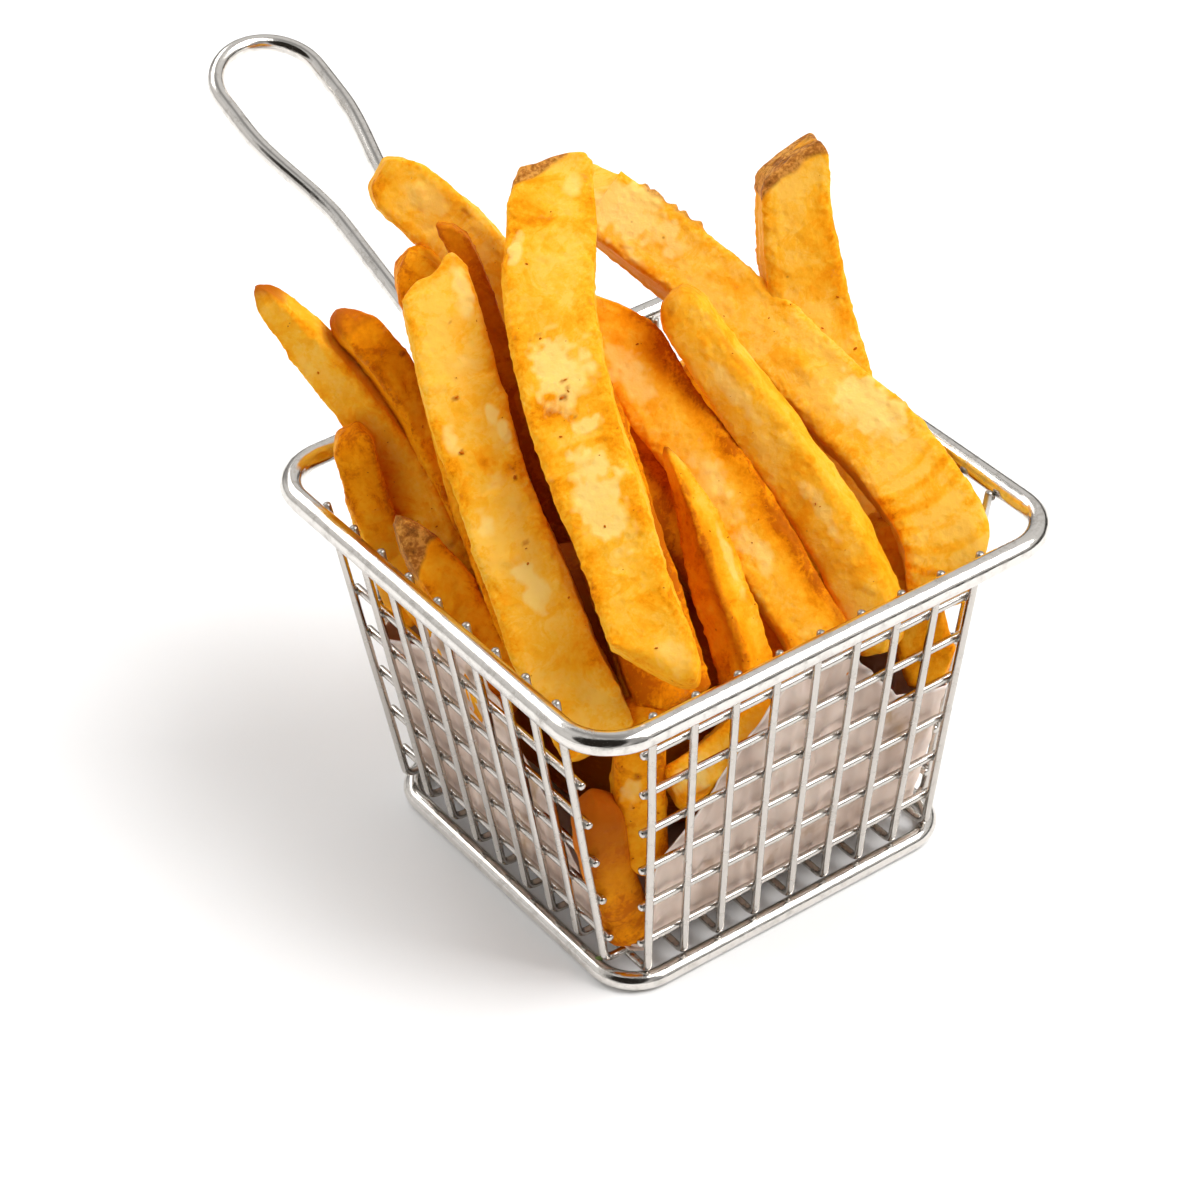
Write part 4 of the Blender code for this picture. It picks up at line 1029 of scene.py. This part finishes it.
def chipPiece(name, given, seed, around, rowStep):
    # a chip on a grid: superellipse sections carried along a smooth line, closed at both ends by a
    # rounded-edged cut that may slant, then moved along its normals by noise
    shape = {**chipUsual, **given}
    line = np.array(shape["line"], float)
    knots = np.concatenate([[0.0], np.cumsum(np.linalg.norm(np.diff(line[:, :3], axis=0), axis=1))])
    length = knots[-1]
    headEnd = shape["end"]
    footEnd = shape.get("footEnd", headEnd)
    headPlaces, headSizes = roundedEnd(headEnd)
    footPlaces, footSizes = roundedEnd(footEnd)
    bodyCount = max(6, int((length - headEnd[0] - footEnd[0]) / rowStep))
    body = np.linspace(headEnd[0], length - footEnd[0], bodyCount + 2)[1:-1]
    places = np.concatenate([headPlaces, body, length - footPlaces[::-1]])
    size = np.concatenate([headSizes, np.ones(len(body)), footSizes[::-1]])
    track = smoothCurve(knots, line, places)
    centre, width = track[:, :3], track[:, 3]
    ahead = smoothCurve(knots, line[:, :3], np.clip(places + 0.5, 0, length))
    behind = smoothCurve(knots, line[:, :3], np.clip(places - 0.5, 0, length))
    along = unit(ahead - behind)
    across = unit(np.cross(-along, viewWay))
    facing = np.cross(across, -along)
    sway = np.radians(chipSurface["twist"]) * np.sin(places / length * 3 + seed)
    twist = math.radians(shape["turn"]) + sway
    wide = across * np.cos(twist)[:, None] + facing * np.sin(twist)[:, None]
    deep = np.cross(along, wide)
    thick = shape["thick"] * (1 + chipSurface["swell"] * np.sin(places / 9.0 + seed * 1.7))
    thick = thick * (width / line[:, 3].max()) ** shape["taper"]
    x, y = evenSection(around, shape["round"], shape["thick"] / line[:, 3].mean())
    corner = smoothStep(0.45, 0.85, np.abs(x * y))
    hollow = 1 - chipSurface["sink"] * (1 - corner) * 1.6
    flatten = size[:, None] * hollow[None, :]
    w = x[None, :] * flatten * width[:, None] / 2
    t = y[None, :] * flatten * thick[:, None] / 2
    xGrid, yGrid, cornerGrid, fromHead = (np.broadcast_to(values, w.shape) for values in
                                          (x[None, :], y[None, :], corner[None, :], places[:, None]))
    # the cuts slide the sections along the chip, less and less away from the ends
    headShare = np.clip(1 - fromHead / shape["cutLength"], 0, 1)
    footShare = np.clip(1 - (length - fromHead) / shape["cutLength"], 0, 1)
    ragged = noise(np.stack([w, np.full_like(w, 3.0 * seed), w * 0], -1), 2.4, seed) * shape["ragged"]
    xCut = x[None, :] * size[:, None]
    yCut = (y[None, :] * size[:, None] + 1) / 2
    slide = (cutLine(shape["head"], xCut) - shape["headBevel"] * yCut + ragged) * headShare
    slide = slide + (cutLine(shape["foot"], xCut) + shape["footBevel"] * yCut + ragged) * footShare
    points = (centre[:, None] + wide[:, None] * w[..., None] + deep[:, None] * t[..., None]
              + along[:, None] * -slide[..., None])
    # bulges, and blisters where the noise is high
    out = unit(wide[:, None] * xGrid[..., None] * 0.9 + deep[:, None] * yGrid[..., None])
    bulge = 0.0
    for noiseSize, step, amount, cornerAmount in chipSurface["bulges"]:
        bulge = bulge + noise(points, noiseSize, seed + step) * (amount + cornerAmount * cornerGrid)
    blister = np.maximum(noise(points, 2.4, seed + 70) - 0.35, 0) * 0.55
    blister = blister + np.maximum(noise(points, 0.9, seed + 75) - 0.25, 0) * 0.5 * cornerGrid
    points = points + out * ((bulge + blister) * (0.4 + 0.6 * size[:, None]))[..., None]
    rind = np.zeros_like(w)
    for start, end, side in shape["rind"]:
        # a strip of skin with scalloped bumps along one side face
        reach = fromHead / length + noise(points, 2.0, seed + 30) * 0.012
        strip = smoothStep(start - 0.01, start + 0.01, reach)
        strip = strip * (1 - smoothStep(end - 0.01, end + 0.01, reach))
        face = smoothStep(0.80, 0.97, x * side + 0.05 * noise(points, 1.2, seed + 31))
        rind = np.maximum(rind, strip * face)
    scallop = fromHead * 2 * math.pi / chipSurface["scallopStep"] + noise(points, 3.0, seed + 32) * 2
    points = points + out * (rind * (0.55 + 0.45 * np.sin(scallop)) * 0.8)[..., None]
    if not shape["loose"]:
        points = keepInside(points)
    # values that the crust's colours read
    rim = 1 - smoothStep(0.0, 2.5, np.minimum(fromHead, length - fromHead))
    edge = np.clip(cornerGrid * (0.75 + 0.5 * noise(points, 4.0, seed + 80)) + 0.5 * rim, 0, 1)
    tipRough = noise(points, 2.5, seed + 90) * 1.2
    tip = shape["tip"] * (1 - smoothStep(0.0, shape["tipReach"], fromHead + tipRough * 0.8))
    skin = 1 - smoothStep(-0.5, 0.5, fromHead + tipRough * 0.7 - cutLine(shape["skin"], x))
    front = smoothStep(0.2, 0.7, yGrid)
    halfWide = width[:, None] / 2
    placed = (fromHead, w / halfWide, halfWide, length)
    marksAndShade, cream, toast = (patchMask(shape[key], *placed, seed + step) * front
                           for key, step in (("marksAndShade", 3), ("cream", 5), ("toast", 8)))
    if "ridges" in shape:
        # bands across the foot at even steps, bowed by the square of the place across
        start, end = (share * length for share in shape["ridges"])
        bowed = fromHead + 2.2 * (w / halfWide) ** 2 + noise(points, 6.0, seed + 9)
        wave = np.sin(bowed * 2 * math.pi / chipSurface["ridgeStep"])
        zone = smoothStep(start - 2, start + 2, fromHead) * (1 - smoothStep(end - 2, end + 2, fromHead))
        toast = np.maximum(toast, smoothStep(-0.2, 0.8, wave) * zone * front * 0.7)
    # painted shade: the tone is raised across the chip from shadeStart to shadeEnd, darkening a side in
    # shadow
    shadeStart, shadeEnd, shadeMore = shape["shade"]
    tone = shape["tone"] + chipSurface["toneShift"] + shadeMore * smoothStep(shadeStart, shadeEnd, xGrid)
    # the dark marks, some of them painted shade, join the brown of the tips
    values = {"edge": edge, "tip": np.clip(np.maximum(tip, marksAndShade), 0, 1), "skin": np.maximum(skin, rind),
              "cream": cream, "toast": toast, "tone": tone}
    values = {key: np.concatenate([value.ravel(), value[[0, -1], 0]]) for key, value in values.items()}
    crumbGround[name] = (points, out, places / length, x, y)
    turnShare = np.broadcast_to(np.arange(around)[None, :] / around, w.shape)
    uv = np.stack([fromHead.ravel() * 0.1, turnShare.ravel() * 4 + seed * 0.37], -1)
    surface = cappedGrid(points, [points[0].mean(axis=0), points[-1].mean(axis=0)])
    meshPiece("chip_" + name, *surface, chipCrust, "fried_potato", ["fries"], values,
              np.concatenate([uv, uv[[0, -1]]]))


for number, (name, shape) in enumerate(chips.items()):
    fineness = ("hiddenAround", "hiddenStep") if name in chipSurface["hidden"] else ("around", "rowStep")
    chipPiece(name, shape, number + 1, *(chipSurface[key] for key in fineness))
print("chips made")

coreShape = {
    "heights": [9.0, 16.0, 36.0, 46.0, 52.0],
    "halves": [17.0, 22.0, 25.5, 25.0, 17.0],
    "cut": 12.0,
    "rows": 50,
    "around": 96,
    # painted shade: the core's brown values darken the gaps between the chips where it shows
    "values": {"edge": 0.4, "tip": 0.35, "skin": 0.0, "cream": 0.0, "toast": 0.5, "tone": 0.4},
}


def chipCore():
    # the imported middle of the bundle: rounded squares that grow upwards, cut back at the front corner
    rows, around = coreShape["rows"], coreShape["around"]
    heights = np.linspace(coreShape["heights"][0], coreShape["heights"][-1], rows)
    halves = np.interp(heights, coreShape["heights"], coreShape["halves"])
    angle = 2 * math.pi * np.arange(around) / around
    x = np.sign(np.cos(angle)) * np.abs(np.cos(angle)) ** 0.45
    y = np.sign(np.sin(angle)) * np.abs(np.sin(angle)) ** 0.45
    back = coreShape["cut"] * np.maximum(0.0, -(x + y) / 2 - 0.45)
    flat = np.stack([x, y], -1)[None] * halves[:, None, None] + back[None, :, None]
    points = np.concatenate([flat, np.broadcast_to(heights[:, None, None], (rows, around, 1))], -1)
    out = unit(points * np.array([1.0, 1.0, 0.0]))
    points = points + out * (noise(points, 7.0, 401) * 1.0)[..., None]
    points, quads, tris = cappedGrid(points, [points[0].mean(axis=0), points[-1].mean(axis=0)])
    values = {key: np.full(len(points), value) for key, value in coreShape["values"].items()}
    meshPiece("chip_core", points, quads, tris, chipCrust, "fried_potato", ["fries"], values,
              np.zeros((len(points), 2)))


chipCore()
print("core made")

# crumbs: on a chip at a share of its length and a place across, half size in mm; the rest lie at random
crumbShape = {
    "placed": [("front_big", 0.355, -0.42, 0.42), ("front_big", 0.25, -0.22, 0.30),
               ("front_big", 0.44, 0.62, 0.34), ("front_big", 0.58, 0.30, 0.26),
               ("middle_tall", 0.44, 0.05, 0.30), ("middle_tall", 0.46, 0.12, 0.26),
               ("middle_tall", 0.47, -0.08, 0.40), ("middle_tall", 0.35, -0.30, 0.24),
               ("middle_tall", 0.95, 0.10, 0.30), ("left_back", 0.20, 0.60, 0.40),
               ("front_right", 0.60, 0.2, 0.26), ("corner_upright", 0.36, -0.10, 0.34),
               ("right_upright", 0.44, 0.7, 0.34)],
    "random": 150,
    "sizes": (0.10, 0.30),
    "colours": {"edge": (0.2, 1.0), "tip": (0.1, 0.9), "skin": (0.0, 0.0), "cream": (0.0, 0.0),
                "toast": (0.3, 1.0), "tone": (0.2, 0.7)},
}


def crumb(centre, size, seed):
    # an uneven ellipsoid, its surface moved in and out by noise
    turn = seed * 2.4
    axes = [np.array([math.cos(turn), math.sin(turn), 0.3]) * size,
            np.array([-math.sin(turn), math.cos(turn), 0.2]) * size * (0.6 + 0.3 * math.sin(seed)),
            np.array([0.1, -0.2, 0.7]) * size * 0.8]
    points, quads, tris, uv = bead(centre, axes, 9, 6)
    points = points + (points - centre) * (noise(points, size * 0.9, seed) * 0.45)[:, None]
    return points, quads, tris, uv


def chipCrumbs():
    # browned crumbs stuck to the faces that show
    rng = np.random.default_rng(7)
    spots = list(crumbShape["placed"])
    openChips = [name for name in chips if name not in chipSurface["hidden"]]
    low, high = crumbShape["sizes"]
    for count in range(crumbShape["random"]):
        size = low + (high - low) * rng.random() ** 2
        chip = openChips[rng.integers(len(openChips))]
        spots.append((chip, rng.uniform(0.05, 0.9), rng.uniform(-1, 1), size))
    surfaces = []
    values = {key: [] for key in crumbShape["colours"]}
    for number, (name, share, place, size) in enumerate(spots):
        points, out, shares, x, y = crumbGround[name]
        row = np.abs(shares - share).argmin()
        column = np.where(y > 0, np.abs(x - place), 9.0).argmin()
        surfaces.append(crumb(points[row, column] + out[row, column] * size * 0.25, size, number + 1))
        for key, (least, most) in crumbShape["colours"].items():
            values[key].append(np.full(len(surfaces[-1][0]), rng.uniform(least, most)))
    points, quads, tris, uv = joinSurfaces(surfaces)
    meshPiece("chip_crumbs", points, quads, tris, chipCrust, "fried_potato", ["fries"],
              {key: np.concatenate(parts) for key, parts in values.items()}, uv)


chipCrumbs()


def herbFlake():
    # one dried leaf flake on the ring's front left corner
    material, nodes, links, shader = newMaterial("dried_herb")
    place = addNode(nodes, "ShaderNodeTexCoord").outputs["Object"]
    veins = addNoise(nodes, links, place, Scale=2400.0, Detail=4.0, Roughness=0.6)
    colour = mixColour(nodes, links, veins, (0.05, 0.09, 0.015), (0.22, 0.30, 0.07))
    links.new(colour, shader.inputs["Base Color"])
    shader.inputs["Roughness"].default_value = 0.7
    halves = [[0.75, -0.35, 0.1], [0.2, 0.45, 0.1], [0.0, 0.0, 0.16]]
    points, quads, tris, uv = bead(np.array([-33.3, -25.8, 3.15]), halves, 24, 12)
    points = points + noise(points, 0.35, 91)[:, None] * np.array([0.10, 0.12, 0.06])
    meshPiece("herb_flake", points, quads, tris, material, "fried_potato", ["fries"], uv=uv)


herbFlake()
print("crumbs made")


# ---- floor, light and camera

def makeFloor():
    # a plain pale floor under the ring
    mesh = bpy.data.meshes.new("floor")
    reach = 4.0
    corners = [(-reach, -reach, 0), (reach, -reach, 0), (reach, reach, 0), (-reach, reach, 0)]
    mesh.from_pydata(corners, [], [(0, 1, 2, 3)])
    material, nodes, links, shader = newMaterial("pale_floor")
    shader.inputs["Base Color"].default_value = (0.96, 0.96, 0.96, 1.0)
    shader.inputs["Roughness"].default_value = 0.75
    mesh.materials.append(material)
    floor = bpy.data.objects.new("floor", mesh)
    bpy.context.scene.collection.objects.link(floor)
    floor.location.z = -0.0002


makeFloor()

lights = {
    "key_softbox": {"at": (0.95, -0.95, 1.95), "size": (1.40, 1.40), "power": 45.0},
    "right_strip": {"at": (0.46, -0.66, 0.62), "size": (0.30, 0.30), "power": 1.1},
    "left_fill": {"at": (-0.90, 0.20, 0.75), "size": (1.30, 1.30), "power": 4.4},
    "back_strip": {"at": (-0.10, 0.75, 0.80), "size": (0.80, 0.40), "power": 3.0},
}


def makeLights():
    # soft rectangular lamps that all look at the middle of the basket
    for name, values in lights.items():
        lamp = bpy.data.lights.new(name, "AREA")
        lamp.shape = "RECTANGLE"
        lamp.size, lamp.size_y = values["size"]
        lamp.energy = values["power"]
        holder = bpy.data.objects.new(name, lamp)
        bpy.context.scene.collection.objects.link(holder)
        holder.location = values["at"]
        holder.visible_glossy = name != "left_fill"    # it would bleach the steel's left runs
        aim = Vector((0.0, -0.03, 0.05)) - holder.location
        holder.rotation_euler = aim.to_track_quat("-Z", "Y").to_euler()


def makeWorld():
    # a studio dome, grey low down on the right: that draws the dark lines along the steel
    world = bpy.data.worlds.new("studio")
    bpy.context.scene.world = world
    world.use_nodes = True
    nodes, links = world.node_tree.nodes, world.node_tree.links
    way = addNode(nodes, "ShaderNodeTexCoord").outputs["Generated"]
    split = addNode(nodes, "ShaderNodeSeparateXYZ")
    links.new(way, split.inputs["Vector"])
    lifted = mathNode(nodes, links, "MULTIPLY_ADD", split.outputs["X"], -0.20, split.outputs["Z"])
    rise = addRamp(nodes, links, lifted, [
        (0.0, (0.05, 0.046, 0.04)), (0.06, (0.10, 0.095, 0.09)), (0.14, (0.80, 0.785, 0.77)),
        (0.70, (0.95, 0.935, 0.92)), (1.0, (0.80, 0.795, 0.79))])
    across = mathNode(nodes, links, "MULTIPLY_ADD", split.outputs["X"], 0.5, 0.5)
    sideways = addRamp(nodes, links, across, [
        (0.0, 0.88), (0.38, 0.86), (0.49, 0.40), (0.58, 0.42), (0.72, 0.84), (1.0, 0.92)])
    dome = mixColour(nodes, links, 1.0, rise, sideways, "MULTIPLY")
    # a dark card up in front, for the black band round the rim's front corner
    card = addNode(nodes, "ShaderNodeVectorMath")
    card.operation = "DOT_PRODUCT"
    links.new(way, card.inputs[0])
    card.inputs[1].default_value = (-0.666, -0.483, 0.569)
    shade = addRamp(nodes, links, card.outputs["Value"], [
        (0.775, (1.0, 1.0, 1.0)), (0.815, (0.03, 0.026, 0.022))])
    dome = mixColour(nodes, links, 1.0, dome, shade, "MULTIPLY")
    links.new(dome, nodes["Background"].inputs["Color"])
    nodes["Background"].inputs["Strength"].default_value = 0.92


makeLights()
makeWorld()

cameraShape = {
    "azimuth": -33.687,
    "elevation": 38.479,
    "roll": -2.870,
    "distance": 591.96,
    "target": (-10.552, 15.236, 33.50),
    "lens": 105.505,
    "shift": (0.0342, 0.0303),
}


def makeCamera():
    # the photo's view: back points from the target to the camera, and right and up are turned by the roll
    a, e, r = (math.radians(cameraShape[key]) for key in ("azimuth", "elevation", "roll"))
    back = Vector((math.sin(a) * math.cos(e), -math.cos(a) * math.cos(e), math.sin(e)))
    level = Vector((math.cos(a), math.sin(a), 0.0))
    rise = back.cross(level)
    right = level * math.cos(r) + rise * math.sin(r)
    up = rise * math.cos(r) - level * math.sin(r)
    target = Vector(np.array(cameraShape["target"]) * mm + basketMiddle)
    data = bpy.data.cameras.new("photo_camera")
    data.lens = cameraShape["lens"]
    data.sensor_width = 36.0
    data.shift_x, data.shift_y = cameraShape["shift"]
    data.clip_start = 0.01
    holder = bpy.data.objects.new("photo_camera", data)
    bpy.context.scene.collection.objects.link(holder)
    turn = Matrix((right, up, back)).transposed().to_4x4()
    holder.matrix_world = Matrix.Translation(target + back * cameraShape["distance"] * mm) @ turn
    bpy.context.scene.camera = holder


makeCamera()
bpy.context.scene.view_settings.view_transform = "Standard"
print("stage made")
